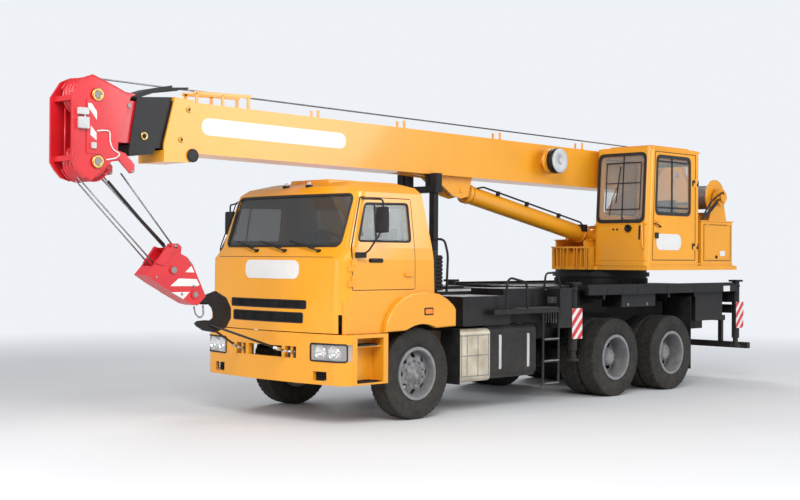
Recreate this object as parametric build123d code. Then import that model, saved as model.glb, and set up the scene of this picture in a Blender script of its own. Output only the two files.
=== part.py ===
"""A 25 tonne mobile crane on a three-axle lorry chassis, as separate pieces.

Lengths are millimetres. While it is drawn, X runs forward from the front axle,
Y to the left and Z up from the ground. At the end everything is moved along X
so that the origin lies under the middle of the whole machine.
"""
import math
import os

from build123d import *

os.makedirs("parts", exist_ok=True)

# Axles and tyres
WHEELBASE = 3690
BOGIE_SPREAD = 1320
MIDDLE_AXLE_X = -WHEELBASE
REAR_AXLE_X = -WHEELBASE - BOGIE_SPREAD
TYRE_RADIUS = 515
TYRE_WIDTH = 280
RIM_RADIUS = 286
FLANGE_RADIUS = 299
FRONT_TRACK = 2040
KINGPIN_Y = 850
OUTER_TWIN_Y = 1100
TWIN_SPACING = 310
AXLE_Z = TYRE_RADIUS

# Running clearances
FIT = 0.3
RUNNING_GAP = 6

# Lorry frame and the crane's own frame on top of it
RAIL_HALF = 410
RAIL_WIDTH = 80
RAIL_HEIGHT = 250
RAIL_TOP = 1000
RAIL_WEB = 10
RAIL_FRONT = 1000
SUBFRAME_TOP = 1400
SUBFRAME_HALF = 430
DECK_THICKNESS = 40
DECK_HALF = 1200

# Outriggers, each pair just clear of the tyres beside it
OUTRIGGER_FRONT_X = MIDDLE_AXLE_X + TYRE_RADIUS + 220
OUTRIGGER_REAR_X = REAR_AXLE_X - TYRE_RADIUS - 1440
BEAM_WIDTH = 130
BEAM_HEIGHT = 200
BEAM_Z = 1290
HOUSING_WALL = 12
BEAM_TRAVEL = 1600
HOUSING_HALF = DECK_HALF - 150
JACK_RADIUS = 56
JACK_Y = DECK_HALF - 72
FOOT_BOTTOM = 505
RAIL_REAR = OUTRIGGER_REAR_X - 95
RAM_RADIUS = 38
JACK_GLAND_TOP = 680

# Truck cab
CAB_HALF = 1160
CAB_WALL = 50
CAB_FLOOR = 1200
FLOOR_THICKNESS = 40
CAB_BULGE = 90
DOOR_GAP = 6
HINGE_RADIUS = 12
DOOR_HINGE_X = 1024
DOOR_HINGE_HEIGHTS = (1560, 1725)
GLASS = 6
GLASS_INSET = 12

# Bumper
BUMPER_BOTTOM = 450
BUMPER_TOP = 990
BUMPER_FRONT = 1270
BUMPER_HALF = 1225
BUMPER_WALL = 45

# Slewing upper part
SLEW_X = -5030
SLEW_BOTTOM = SUBFRAME_TOP + DECK_THICKNESS
RING_TOP = 1660
RING_RADIUS = 660
TURNTABLE_BOTTOM = RING_TOP + FIT
CHEEK_INNER = 235
CHEEK_THICKNESS = 25

# Operator cab
OP_FRONT = -4430
OP_REAR = -5770
OP_RIGHT = 285
OP_LEFT = 1200
OP_BOTTOM = 1720
OP_TOP = 3360
OP_LEAN = 100
OP_WALL = 40
OP_HINGE_X = -5637
OP_HINGE_HEIGHTS = (2000, 2900)

# Boom
PIVOT_X = -6600
PIVOT_Z = 3100
BOOM_TILT = 0.55
BOOM_HALF = 220
BOOM_BOTTOM = 2800
BOOM_TOP = 3330
BOOM_WALL = 10
BOOM_REAR = -6950
BOOM_FRONT = 2700
TUBE_STEP = 26
MID_FRONT = 3080
MID_REAR = -6450
TIP_REAR = -6200
HEAD_PINS = ((3565, 3390), (3560, 2735))
HEAD_SHEAVE = 150
PIVOT_PIN_RADIUS = 60

# Luffing cylinder
FOOT_X = -4720
FOOT_Z = 2130
EYE_X = -1860
EYE_Z = 2690
FOOT_PIN_RADIUS = 45
EYE_PIN_RADIUS = 40
BARREL_RADIUS = 118
ROD_RADIUS = 75

# Hook block, tied forward of plumb
HOOK_PIN_X = 2581
HOOK_PIN_Z = 1673
HOOK_SHEAVE = 140
HOOK_SHEAVE_ROOM = 158

# Whole machine
TAIL_END = -7790


def at_rest(x, z):
    """The place at rest of a point on the boom, which is drawn level."""
    angle = math.radians(BOOM_TILT)
    dx, dz = x - PIVOT_X, z - PIVOT_Z
    return (PIVOT_X + dx * math.cos(angle) - dz * math.sin(angle),
            PIVOT_Z + dx * math.sin(angle) + dz * math.cos(angle))


def drawn_level(x, z):
    """The place, on the boom drawn level, of a point given at rest."""
    angle = math.radians(BOOM_TILT)
    dx, dz = x - PIVOT_X, z - PIVOT_Z
    return (PIVOT_X + dx * math.cos(angle) + dz * math.sin(angle),
            PIVOT_Z - dx * math.sin(angle) + dz * math.cos(angle))


# Outlines at the front of the boom, seen from the side with the boom at rest
HEAD_OUTLINE = [
    (3114, 3434), (3244, 3449), (3361, 3497), (3613, 3585), (3725, 3533), (3835, 3370),
    (3835, 2729), (3789, 2660), (3717, 2584), (3614, 2553), (3449, 2679), (3397, 2745),
    (3302, 2760), (3172, 2638), (3129, 2659), (3129, 2733), (3238, 2837), (3324, 2859),
    (3315, 3016), (3178, 3404),
]
MID_COLLAR = [
    (2672, 3450), (3089, 3414), (3182, 2869), (3181, 2816), (2896, 2850), (2863, 2930),
    (2803, 2930),
]
BASE_COLLAR = [
    (2420, 3440), (2656, 3451), (2788, 2958), (2787, 2779), (2500, 2786), (2420, 2870),
]

HEAD_FRONT = max(x for x, z in HEAD_OUTLINE)
CENTRE_SHIFT = -(HEAD_FRONT + TAIL_END) / 2


def block(x, y, z):
    """A box between two corners, given as three (low, high) ranges."""
    size = [high - low for low, high in (x, y, z)]
    middle = [(low + high) / 2 for low, high in (x, y, z)]
    return Pos(*middle) * Box(*size)


def side_face(points, y):
    """A face in the XZ plane at y, drawn as seen from the right-hand side."""
    plane = Plane(origin=(0, y, 0), x_dir=(1, 0, 0), z_dir=(0, -1, 0))
    return plane * make_face(Polyline(*points, close=True))


def side_plate(points, y_low, y_high):
    """A plate with an XZ outline, from y_low to y_high."""
    return extrude(side_face(points, y_high), y_high - y_low)


def cross_plate(points, x_low, x_high):
    """A plate with a YZ outline, from x_low to x_high."""
    plane = Plane(origin=(x_low, 0, 0), x_dir=(0, 1, 0), z_dir=(1, 0, 0))
    return extrude(plane * make_face(Polyline(*points, close=True)), x_high - x_low)


def flat_plate(points, z_low, z_high):
    """A plate with an XY outline, from z_low to z_high."""
    plane = Plane.XY.offset(z_low)
    return extrude(plane * make_face(Polyline(*points, close=True)), z_high - z_low)


def rod(start, end, radius):
    """A round bar between two points."""
    start, end = Vector(*start), Vector(*end)
    along = end - start
    plane = Plane(origin=start, z_dir=along)
    return extrude(plane * Circle(radius), along.length)


def disc(centre, radius, y_low, y_high):
    """A round piece whose axis runs across the machine."""
    x, z = centre
    return rod((x, y_low, z), (x, y_high, z), radius)


def bent_bar(points, bend, radius):
    """A round bar along straight runs with rounded corners."""
    path = FilletPolyline(*points, radius=bend)
    start = Plane(origin=path @ 0, z_dir=path % 0)
    return sweep(start * Circle(radius), path)


def mirrored(part):
    return mirror(part, about=Plane.XZ)


def both(part):
    """A piece of the left side with its twin on the right."""
    return part + mirrored(part)


def turned(profile, axis_x, axis_z=AXLE_Z):
    """A solid of revolution about an axle, from (y, radius) points."""
    plane = Plane(origin=(axis_x, 0, axis_z), x_dir=(0, 1, 0), z_dir=(1, 0, 0))
    face = plane * make_face(Polyline(*profile, close=True))
    return revolve(face, Axis((axis_x, 0, axis_z), (0, 1, 0)), 360)


def save(name, part):
    solids = part.solids() if hasattr(part, "solids") else part
    shape = solids[0] if len(solids) == 1 else Compound(children=list(solids))
    export_step(Pos(CENTRE_SHIFT, 0, 0) * shape, f"parts/{name}.step")


# Wheels

def tyre(x, y):
    """A radial tyre with square shoulders and a flatter tread."""
    half = TYRE_WIDTH / 2
    bead = half - 28
    profile = [
        (y - bead, RIM_RADIUS), (y - bead, FLANGE_RADIUS + 1),
        (y - bead - 10, FLANGE_RADIUS + 14), (y - half, 395), (y - half + 6, 468),
        (y - half + 26, TYRE_RADIUS - 8), (y - half + 60, TYRE_RADIUS), (y + half - 60, TYRE_RADIUS),
        (y + half - 26, TYRE_RADIUS - 8), (y + half - 6, 468), (y + half, 395),
        (y + bead + 10, FLANGE_RADIUS + 14), (y + bead, FLANGE_RADIUS + 1),
        (y + bead, RIM_RADIUS),
    ]
    return turned(profile, x)


RIM_HALF = TYRE_WIDTH / 2 - 28
DISC_THICKNESS = 14
HAND_HOLES = 8
HAND_HOLE_RADIUS = 34
HAND_HOLE_CIRCLE = 205
HUB_RADIUS = 120


def rim_barrel(x, y):
    """The rolled rim under one tyre, with a flange at each edge."""
    edge = RIM_HALF + FIT
    outer = RIM_RADIUS - FIT
    profile = [
        (y - edge - 16, FLANGE_RADIUS), (y - edge, FLANGE_RADIUS), (y - edge, outer),
        (y + edge, outer), (y + edge, FLANGE_RADIUS), (y + edge + 16, FLANGE_RADIUS),
        (y + edge + 16, outer - 22), (y + edge - 30, outer - 30),
        (y - edge + 30, outer - 30), (y - edge - 16, outer - 22),
    ]
    return turned(profile, x)


def wheel_disc(x, y_disc, y_dish):
    """The dished plate from the hub seat out to the rim, with hand holes."""
    reach = RIM_RADIUS - 18
    profile = [
        (y_disc, 0), (y_disc + DISC_THICKNESS, 0), (y_disc + DISC_THICKNESS, 165),
        (y_dish + DISC_THICKNESS, 245), (y_dish + DISC_THICKNESS, reach),
        (y_dish, reach), (y_dish, 240), (y_disc, 160),
    ]
    plate = turned(profile, x)
    for index in range(HAND_HOLES):
        angle = math.tau * index / HAND_HOLES
        centre = (x + HAND_HOLE_CIRCLE * math.cos(angle),
                  AXLE_Z + HAND_HOLE_CIRCLE * math.sin(angle))
        plate -= disc(centre, HAND_HOLE_RADIUS, y_disc - 150, y_disc + 150)
    return plate


FRONT_WHEEL_Y = FRONT_TRACK / 2
FRONT_DISC_Y = FRONT_WHEEL_Y + 62
TWIN_INNER_Y = OUTER_TWIN_Y - TWIN_SPACING
TWIN_DISC_Y = (OUTER_TWIN_Y + TWIN_INNER_Y) / 2
SPINDLE_RADIUS = 45


def front_rim():
    """Left front wheel: rim, disc close to the outer face and turned hub."""
    hub = turned([
        (FRONT_DISC_Y - 125, SPINDLE_RADIUS + FIT), (FRONT_DISC_Y - 125, 150),
        (FRONT_DISC_Y - 100, HUB_RADIUS), (FRONT_DISC_Y + 20, HUB_RADIUS),
        (FRONT_DISC_Y + 45, 84), (FRONT_DISC_Y + 62, 70), (FRONT_DISC_Y + 62, 0),
        (FRONT_DISC_Y - 16, 0), (FRONT_DISC_Y - 16, SPINDLE_RADIUS + FIT),
    ], 0)
    bore = disc((0, AXLE_Z), SPINDLE_RADIUS + FIT, FRONT_DISC_Y - 130, FRONT_DISC_Y - 16)
    rim = rim_barrel(0, FRONT_WHEEL_Y) + wheel_disc(0, FRONT_DISC_Y, FRONT_DISC_Y - 40)
    return rim + hub - bore


def twin_rim(x):
    """Left pair of driven rims, bolted face to face on one hub."""
    hub = turned([
        (TWIN_DISC_Y - 190, SPINDLE_RADIUS + FIT), (TWIN_DISC_Y - 190, 160),
        (TWIN_DISC_Y - 60, 160),
        (TWIN_DISC_Y - 60, HUB_RADIUS + 10), (TWIN_DISC_Y + 150, HUB_RADIUS),
        (TWIN_DISC_Y + 185, 95), (TWIN_DISC_Y + 185, 0), (TWIN_DISC_Y + 100, 0),
        (TWIN_DISC_Y + 100, SPINDLE_RADIUS + FIT),
    ], x)
    rims = rim_barrel(x, OUTER_TWIN_Y) + rim_barrel(x, TWIN_INNER_Y)
    outer_disc = wheel_disc(x, TWIN_DISC_Y, TWIN_DISC_Y + 45)
    inner_disc = wheel_disc(x, TWIN_DISC_Y - DISC_THICKNESS, TWIN_DISC_Y - DISC_THICKNESS - 45)
    bore = disc((x, AXLE_Z), SPINDLE_RADIUS + FIT, TWIN_DISC_Y - 200, TWIN_DISC_Y + 100)
    return rims + outer_disc + inner_disc + hub - bore


def make_wheels():
    left = tyre(0, FRONT_WHEEL_Y)
    save("front_tyre_left", left)
    save("front_tyre_right", mirrored(left))
    rim = front_rim()
    save("front_rim_left", rim)
    save("front_rim_right", mirrored(rim))
    for name, x in (("middle", MIDDLE_AXLE_X), ("rear", REAR_AXLE_X)):
        pair = tyre(x, OUTER_TWIN_Y) + tyre(x, TWIN_INNER_Y)
        save(f"{name}_tyres_left", pair)
        save(f"{name}_tyres_right", mirrored(pair))
        rims = twin_rim(x)
        save(f"{name}_rims_left", rims)
        save(f"{name}_rims_right", mirrored(rims))


# Axles, springs and steering knuckles

BEAM_AXLE_HALF = KINGPIN_Y - 62
KINGPIN_RADIUS = 28
SPRING_Y = 410
SPRING_HALF = 40
FRONT_SPRING_Z = 620


def front_axle():
    """A forged I beam with a dropped middle and an eye for each kingpin."""
    drop = 60
    beam = cross_plate([
        (-BEAM_AXLE_HALF, AXLE_Z - 50), (-620, AXLE_Z - 50), (-540, AXLE_Z - 50 - drop),
        (540, AXLE_Z - 50 - drop), (620, AXLE_Z - 50), (BEAM_AXLE_HALF, AXLE_Z - 50),
        (BEAM_AXLE_HALF, AXLE_Z + 50), (600, AXLE_Z + 50), (510, AXLE_Z + 55 - drop),
        (-510, AXLE_Z + 55 - drop), (-600, AXLE_Z + 50), (-BEAM_AXLE_HALF, AXLE_Z + 50),
    ], -50, 50)
    for x in (-50, 18):
        beam -= block((x, x + 32), (-500, 500), (AXLE_Z - 25 - drop, AXLE_Z + 30 - drop))
    eye = rod((0, KINGPIN_Y, AXLE_Z - 60), (0, KINGPIN_Y, AXLE_Z + 60), 62)
    eye += block((-50, 50), (BEAM_AXLE_HALF - 1, KINGPIN_Y), (AXLE_Z - 50, AXLE_Z + 50))
    eye -= rod((0, KINGPIN_Y, AXLE_Z - 61), (0, KINGPIN_Y, AXLE_Z + 61), KINGPIN_RADIUS + FIT)
    pads = both(block((-60, 60), (SPRING_Y - 50, SPRING_Y + 50),
                      (AXLE_Z + 54 - drop, FRONT_SPRING_Z - 75)))
    return beam + both(eye) + pads


def knuckle():
    """Left steering knuckle: kingpin, fork round the axle eye, and spindle."""
    gap = 7
    fork_reach = 110
    fork = rod((0, KINGPIN_Y, AXLE_Z + 60 + gap), (0, KINGPIN_Y, AXLE_Z + fork_reach), 60)
    fork += rod((0, KINGPIN_Y, AXLE_Z - fork_reach), (0, KINGPIN_Y, AXLE_Z - 60 - gap), 60)
    web_y = KINGPIN_Y + 62 + gap
    for low, high in ((60 + gap, fork_reach), (-fork_reach, -60 - gap)):
        fork += block((-50, 50), (KINGPIN_Y, web_y + 20), (AXLE_Z + low, AXLE_Z + high))
    fork += block((-50, 50), (web_y, web_y + 25), (AXLE_Z - fork_reach, AXLE_Z + fork_reach))
    pin = rod((0, KINGPIN_Y, AXLE_Z - fork_reach), (0, KINGPIN_Y, AXLE_Z + fork_reach),
              KINGPIN_RADIUS)
    spindle = disc((0, AXLE_Z), SPINDLE_RADIUS, web_y, FRONT_DISC_Y - 16 - RUNNING_GAP)
    return fork + pin + spindle


PINION_REACH = 330


def drive_axle(x):
    """A driven axle: banjo housing with its tubes running out to the hubs."""
    tube_end = TWIN_DISC_Y - 190 - RUNNING_GAP
    tubes = block((x - 60, x + 60), (-tube_end, tube_end), (AXLE_Z - 70, AXLE_Z + 70))
    housing = disc((x, AXLE_Z), 200, -95, 95) + disc((x, AXLE_Z), 150, -150, 150)
    nose = rod((x, 0, AXLE_Z + 60), (x + PINION_REACH, 0, AXLE_Z + 60), 88)
    spindle = both(disc((x, AXLE_Z), SPINDLE_RADIUS, tube_end - 10, TWIN_DISC_Y + 90))
    return tubes + housing + nose + spindle


def make_axles():
    shaft_z = AXLE_Z + 60
    prop_shaft = rod((MIDDLE_AXLE_X + PINION_REACH + FIT, 0, shaft_z), (-700, 0, 700), 48)
    link_shaft = rod((REAR_AXLE_X + PINION_REACH + FIT, 0, shaft_z),
                     (MIDDLE_AXLE_X - 200, 0, shaft_z), 42)
    driven = [drive_axle(x) for x in (MIDDLE_AXLE_X, REAR_AXLE_X)]
    pieces = [front_axle()] + driven + [prop_shaft, link_shaft]
    save("axles", [piece.solids()[0] for piece in pieces])
    save("knuckle_left", knuckle())
    save("knuckle_right", mirrored(knuckle()))


def leaf_pack(x, half_length, z_low, z_high, leaves):
    """Stacked leaves, each shorter than the one above it."""
    step = (z_high - z_low) / leaves
    pack = None
    for index in range(leaves):
        reach = half_length * (1 - 0.8 * index / leaves)
        top = z_high - index * step
        leaf = block((x - reach, x + reach), (SPRING_Y - SPRING_HALF, SPRING_Y + SPRING_HALF),
                     (top - step, top))
        pack = leaf if pack is None else pack + leaf
    return pack


REAR_SPRING_HALF = BOGIE_SPREAD / 2


def make_springs():
    """Front springs on shackles, and rocking springs over the bogie."""
    rail_bottom = RAIL_TOP - RAIL_HEIGHT
    front = leaf_pack(0, 760, FRONT_SPRING_Z - 75, FRONT_SPRING_Z + 5, 5)
    for x in (-720, 720):
        front += block((x - 35, x + 35), (SPRING_Y - 30, SPRING_Y + 30),
                       (FRONT_SPRING_Z, rail_bottom))
    middle_x = (MIDDLE_AXLE_X + REAR_AXLE_X) / 2
    rear = leaf_pack(middle_x, REAR_SPRING_HALF + 50, AXLE_Z + 70, rail_bottom - 15, 6)
    rear += block((middle_x - 130, middle_x + 130), (SPRING_Y - 60, SPRING_Y + 60),
                  (AXLE_Z - 60, rail_bottom))
    for x in (MIDDLE_AXLE_X, REAR_AXLE_X):
        rear += block((x - 60, x + 60), (SPRING_Y - 50, SPRING_Y + 50),
                      (AXLE_Z + 70, rail_bottom - 15))
    save("springs", both(front) + both(rear))


# Lorry frame, engine and the crane frame

def make_chassis_frame():
    rail = block((RAIL_REAR, RAIL_FRONT), (RAIL_HALF - RAIL_WIDTH / 2, RAIL_HALF + RAIL_WIDTH / 2),
                 (RAIL_TOP - RAIL_HEIGHT, RAIL_TOP))
    web = RAIL_WEB
    rail -= block((RAIL_REAR - 1, RAIL_FRONT + 1),
                  (RAIL_HALF - RAIL_WIDTH / 2 - 1, RAIL_HALF + RAIL_WIDTH / 2 - web),
                  (RAIL_TOP - RAIL_HEIGHT + web, RAIL_TOP - web))
    frame = both(rail)
    inner = RAIL_HALF + RAIL_WIDTH / 2 - web
    for x in (900, -1300, -2300, -3000, -4350, -5700, RAIL_REAR + 160):
        frame += block((x - 40, x + 40), (-inner, inner),
                       (RAIL_TOP - RAIL_HEIGHT + 40, RAIL_TOP - 40))
    guard_x = RAIL_REAR - 125
    guard_half = DECK_HALF - 20
    frame += block((guard_x - 40, guard_x + 40), (-guard_half, guard_half), (470, 560))
    for y in (-700, 700):
        frame += block((guard_x - 30, guard_x + 30), (y - 30, y + 30), (500, 960))
    frame += block((guard_x - 30, RAIL_REAR), (-760, 760), (880, 960))
    for x in (850, -190):
        frame += both(block((x - 40, x + 40), (RAIL_HALF - 40, RAIL_HALF + 40),
                            (RAIL_TOP, CAB_FLOOR)))
    save("chassis_frame", frame)


def make_engine():
    engine = block((-650, 700), (-330, 330), (620, 1140))
    web_inside = RAIL_HALF + RAIL_WIDTH / 2 - RAIL_WEB
    for x in (-500, 500):
        engine += block((x - 40, x + 40), (-web_inside, web_inside), (800, 860))
    save("engine_block", engine)


def beam_centres():
    """Name, side and X of each outrigger beam; the two of a pair lie side by side."""
    offset = BEAM_WIDTH / 2 + RUNNING_GAP + HOUSING_WALL / 2
    rows = []
    for end, x in (("front", OUTRIGGER_FRONT_X), ("rear", OUTRIGGER_REAR_X)):
        rows.append((f"{end}_left", 1, x + offset))
        rows.append((f"{end}_right", -1, x - offset))
    return rows


def make_subframe():
    """The crane frame: girder, full-width outrigger housings, deck and side beams."""
    girder = block((RAIL_REAR, -900), (-SUBFRAME_HALF, SUBFRAME_HALF), (RAIL_TOP, SUBFRAME_TOP))
    girder -= block((RAIL_REAR - 1, -899), (-SUBFRAME_HALF + 14, SUBFRAME_HALF - 14),
                    (RAIL_TOP + 14, SUBFRAME_TOP - 14))
    housing_width = 2 * (BEAM_WIDTH + 2 * RUNNING_GAP) + 3 * HOUSING_WALL
    housing_height = BEAM_HEIGHT + 2 * RUNNING_GAP + 2 * HOUSING_WALL
    frame = girder
    for x in (OUTRIGGER_FRONT_X, OUTRIGGER_REAR_X):
        frame += block((x - housing_width / 2, x + housing_width / 2),
                       (-HOUSING_HALF, HOUSING_HALF),
                       (BEAM_Z - housing_height / 2, BEAM_Z + housing_height / 2))
    deck_rear = OUTRIGGER_REAR_X + housing_width / 2
    deck_front = OUTRIGGER_FRONT_X - housing_width / 2
    deck = block((deck_rear, deck_front), (-DECK_HALF, DECK_HALF), (SUBFRAME_TOP, SLEW_BOTTOM))
    side = block((deck_rear, deck_front), (DECK_HALF - 60, DECK_HALF), (1340, SUBFRAME_TOP))
    frame += deck + both(side)
    for x in (-3500, -5030, -5700):
        frame += block((x - 20, x + 20), (-DECK_HALF + 30, DECK_HALF - 30), (1280, SUBFRAME_TOP))
    for _, _, x in beam_centres():
        half_width = BEAM_WIDTH / 2 + RUNNING_GAP
        half_height = BEAM_HEIGHT / 2 + RUNNING_GAP
        frame -= block((x - half_width, x + half_width), (-HOUSING_HALF - 10, HOUSING_HALF + 10),
                       (BEAM_Z - half_height, BEAM_Z + half_height))
        for y in (HOUSING_HALF - 80, 100 - HOUSING_HALF):
            pad = block((x - 50, x + 50), (y, y + 60),
                        (BEAM_Z - half_height, BEAM_Z - BEAM_HEIGHT / 2 - FIT))
            frame += pad
    save("subframe", frame)


def make_slew_ring():
    ring = rod((SLEW_X, 0, SLEW_BOTTOM), (SLEW_X, 0, RING_TOP), RING_RADIUS)
    ring += rod((SLEW_X, 0, 1560), (SLEW_X, 0, 1620), RING_RADIUS + 40)
    ring -= rod((SLEW_X, 0, SLEW_BOTTOM - 1), (SLEW_X, 0, RING_TOP + 1), RING_RADIUS - 120)
    save("slew_ring", ring)


# Outriggers

BEAM_OUTER = JACK_Y - 20
BEAM_INNER = -900


def outrigger_beam(x):
    """A left beam with its jack tube, top cap and warning plate."""
    half_height = BEAM_HEIGHT / 2
    beam = block((x - BEAM_WIDTH / 2, x + BEAM_WIDTH / 2), (BEAM_INNER, BEAM_OUTER),
                 (BEAM_Z - half_height, BEAM_Z + half_height))
    tube = rod((x, JACK_Y, 640), (x, JACK_Y, 1480), JACK_RADIUS)
    cap = block((x - 90, x + 90), (JACK_Y - 66, JACK_Y + 70), (1480, 1510))
    bore = rod((x, JACK_Y, JACK_GLAND_TOP), (x, JACK_Y, 1380), JACK_RADIUS - 12)
    bore += rod((x, JACK_Y, 639), (x, JACK_Y, JACK_GLAND_TOP + 1), RAM_RADIUS + FIT)
    plate = block((x - 105, x + 105), (JACK_Y + 66, JACK_Y + 70), (790, 1180))
    arm = block((x - 30, x + 30), (JACK_Y + JACK_RADIUS - 8, JACK_Y + 66), (900, 1060))
    return (beam + tube + cap + arm + plate) - bore


def jack(x):
    """The jack's ram with its round foot."""
    ram = rod((x, JACK_Y, FOOT_BOTTOM + 25), (x, JACK_Y, 1370), RAM_RADIUS)
    foot = rod((x, JACK_Y, FOOT_BOTTOM), (x, JACK_Y, FOOT_BOTTOM + 30), 78)
    collar = rod((x, JACK_Y, FOOT_BOTTOM + 28), (x, JACK_Y, FOOT_BOTTOM + 70), 50)
    return ram + foot + collar


def make_outriggers():
    for name, side, x in beam_centres():
        beam, ram = outrigger_beam(x), jack(x)
        if side < 0:
            beam, ram = mirrored(beam), mirrored(ram)
        save(f"outrigger_beam_{name}", beam)
        save(f"jack_{name}", ram)


# Truck cab

# Height, rear X, front X on the centre line, half width and corner radius
CAB_LEVELS = [
    (1000, -270, 1270, 1160, 170),
    (1790, -240, 1255, 1160, 160),
    (1920, -225, 1130, 1150, 120),
    (2530, -130, 925, 1070, 100),
    (2600, -90, 840, 1000, 100),
    (2662, 40, 640, 780, 100),
]


def cab_section(level, inset, z=None):
    """One level of the cab in plan: flat back and sides, bowed front."""
    height, rear, front, half, corner = level
    rear, front, half = rear + inset, front - inset, half - inset
    corner = max(corner - inset, 20)
    edge = half - corner
    side_x = front - CAB_BULGE - corner
    slant = corner * (1 - math.sqrt(0.5))
    outline = [
        Line((rear, half), (side_x, half)),
        ThreePointArc((side_x, half), (side_x + corner - slant, half - slant),
                      (side_x + corner, edge)),
        ThreePointArc((side_x + corner, edge), (front, 0), (side_x + corner, -edge)),
        ThreePointArc((side_x + corner, -edge), (side_x + corner - slant, -half + slant),
                      (side_x, -half)),
        Line((side_x, -half), (rear, -half)),
        Line((rear, -half), (rear, half)),
    ]
    return Plane.XY.offset(height if z is None else z) * make_face(outline)


def cab_body(inset):
    """The cab's outer form, drawn in by an inset on all sides."""
    levels = list(CAB_LEVELS)
    faces = [cab_section(level, inset) for level in levels[:-1]]
    top = levels[-1]
    faces.append(cab_section(top, inset, top[0] - inset))
    if inset:
        faces[-2] = cab_section(levels[-2], inset, levels[-2][0] - inset * 0.8)
    return loft(faces, ruled=True)


def rounded_prism(points, radius, plane, depth):
    """A prism with rounded corners, cut symmetrically about a plane."""
    outline = make_face(FilletPolyline(*points, radius=radius, close=True))
    return extrude(plane * outline, depth, both=True)


DOOR_OUTLINE = [(1020, 1460), (1020, 1930), (835, 2470), (60, 2470), (60, 1460)]
DOOR_WINDOW = [(915, 1990), (772, 2400), (115, 2415), (115, 1990)]
WINDSCREEN = [(-985, 1935), (985, 1935), (965, 2500), (-965, 2500)]
REAR_WINDOW = [(200, 2000), (760, 2000), (760, 2380), (200, 2380)]


def shrink(points, amount):
    """An outline drawn in towards its middle by about an amount."""
    count = len(points)
    area = sum(points[i - 1][0] * points[i][1] - points[i][0] * points[i - 1][1]
               for i in range(count))
    turn = 1 if area > 0 else -1
    moved = []
    for i in range(count):
        before, here, after = (Vector(*points[k % count]) for k in (i - 1, i, i + 1))
        first, second = (here - before).normalized(), (after - here).normalized()
        first_in = Vector(-first.Y, first.X) * turn
        second_in = Vector(-second.Y, second.X) * turn
        step = (first_in + second_in) * (amount / (1 + first_in.dot(second_in)))
        moved.append((here.X + step.X, here.Y + step.Y))
    return moved


def door_prism(points, y_low=960, y_high=1300):
    return side_plate(points, y_low, y_high)


def window_prism(points, radius=45):
    plane = Plane(origin=(0, 1150, 0), x_dir=(1, 0, 0), z_dir=(0, -1, 0))
    return rounded_prism(points, radius, plane, 190)


def front_prism(points, radius=70):
    plane = Plane(origin=(1000, 0, 0), x_dir=(0, 1, 0), z_dir=(1, 0, 0))
    return rounded_prism(points, radius, plane, 330)


def rear_prism(points, radius=40):
    plane = Plane(origin=(-200, 0, 0), x_dir=(0, 1, 0), z_dir=(1, 0, 0))
    return rounded_prism(points, radius, plane, 200)


def inner_cab():
    room = cab_body(CAB_WALL)
    below = block((-400, 1400), (-1300, 1300), (900, CAB_FLOOR + FLOOR_THICKNESS))
    return room - below


GRILLE_SLOTS = ((1258, 1338, 645), (1104, 1203, 600))


def make_truck_cab():
    outer = cab_body(0)
    wall = outer - inner_cab()
    under = block((-400, 1150), (-1300, 1300), (900, CAB_FLOOR))
    wall -= under
    left_door = door_prism(DOOR_OUTLINE)
    shell = wall - left_door - mirrored(left_door)
    shell -= front_prism(WINDSCREEN)
    for window in (REAR_WINDOW, [(-y, z) for y, z in REAR_WINDOW]):
        shell -= rear_prism(window)
    for low, high, half in GRILLE_SLOTS:
        shell -= block((1180, 1400), (-half, half), (low, high))
        for z in (low + 24, high - 30):
            bar = cab_body(20) & block((1100, 1400), (-half, half), (z, z + 6))
            shell += bar - cab_body(CAB_WALL)
    hatch = flat_plate([(150, -330), (620, -330), (620, 330), (150, 330)], 2650, 2700)
    shell += fillet(hatch.edges().group_by(Axis.Z)[-1], 20)
    shell += block((-150, 1180), (-CAB_HALF + 55, CAB_HALF - 55),
                   (CAB_FLOOR, CAB_FLOOR + FLOOR_THICKNESS)) & cab_body(20)
    for z in DOOR_HINGE_HEIGHTS:
        shell += both(hinge(DOOR_HINGE_X, CAB_HALF + HINGE_RADIUS, z, -1))
    save("cab_shell", shell)

    pane = cab_body(GLASS_INSET) - cab_body(GLASS_INSET + GLASS)
    windscreen = pane & front_prism(WINDSCREEN)
    glass = [windscreen]
    for window in (REAR_WINDOW, [(-y, z) for y, z in REAR_WINDOW]):
        glass.append(pane & rear_prism(window))
    save("cab_glass", Compound(children=[s for g in glass for s in g.solids()]))

    door = wall & door_prism(shrink(DOOR_OUTLINE, DOOR_GAP))
    door -= window_prism(DOOR_WINDOW)
    handle = block((120, 230), (CAB_HALF - 4, CAB_HALF + 26), (1610, 1640))
    door += handle
    for z in DOOR_HINGE_HEIGHTS:
        door += hinge(DOOR_HINGE_X, CAB_HALF + HINGE_RADIUS, z, 1)
    save("door_left", door)
    save("door_right", mirrored(door))
    door_glass = pane & window_prism(DOOR_WINDOW)
    save("door_glass_left", door_glass)
    save("door_glass_right", mirrored(door_glass))


def hinge(x, y, z, knuckle_side):
    """Half of a door hinge: its knuckle and the leaf back to the panel."""
    low = z if knuckle_side > 0 else z - 60
    barrel = rod((x, y, low + FIT / 2), (x, y, low + 60 - FIT / 2), HINGE_RADIUS)
    leaf = block((min(x, x - knuckle_side * 55), max(x, x - knuckle_side * 55)),
                 (y - HINGE_RADIUS, y - 2), (low + FIT / 2, low + 60 - FIT / 2))
    return barrel + leaf


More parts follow.
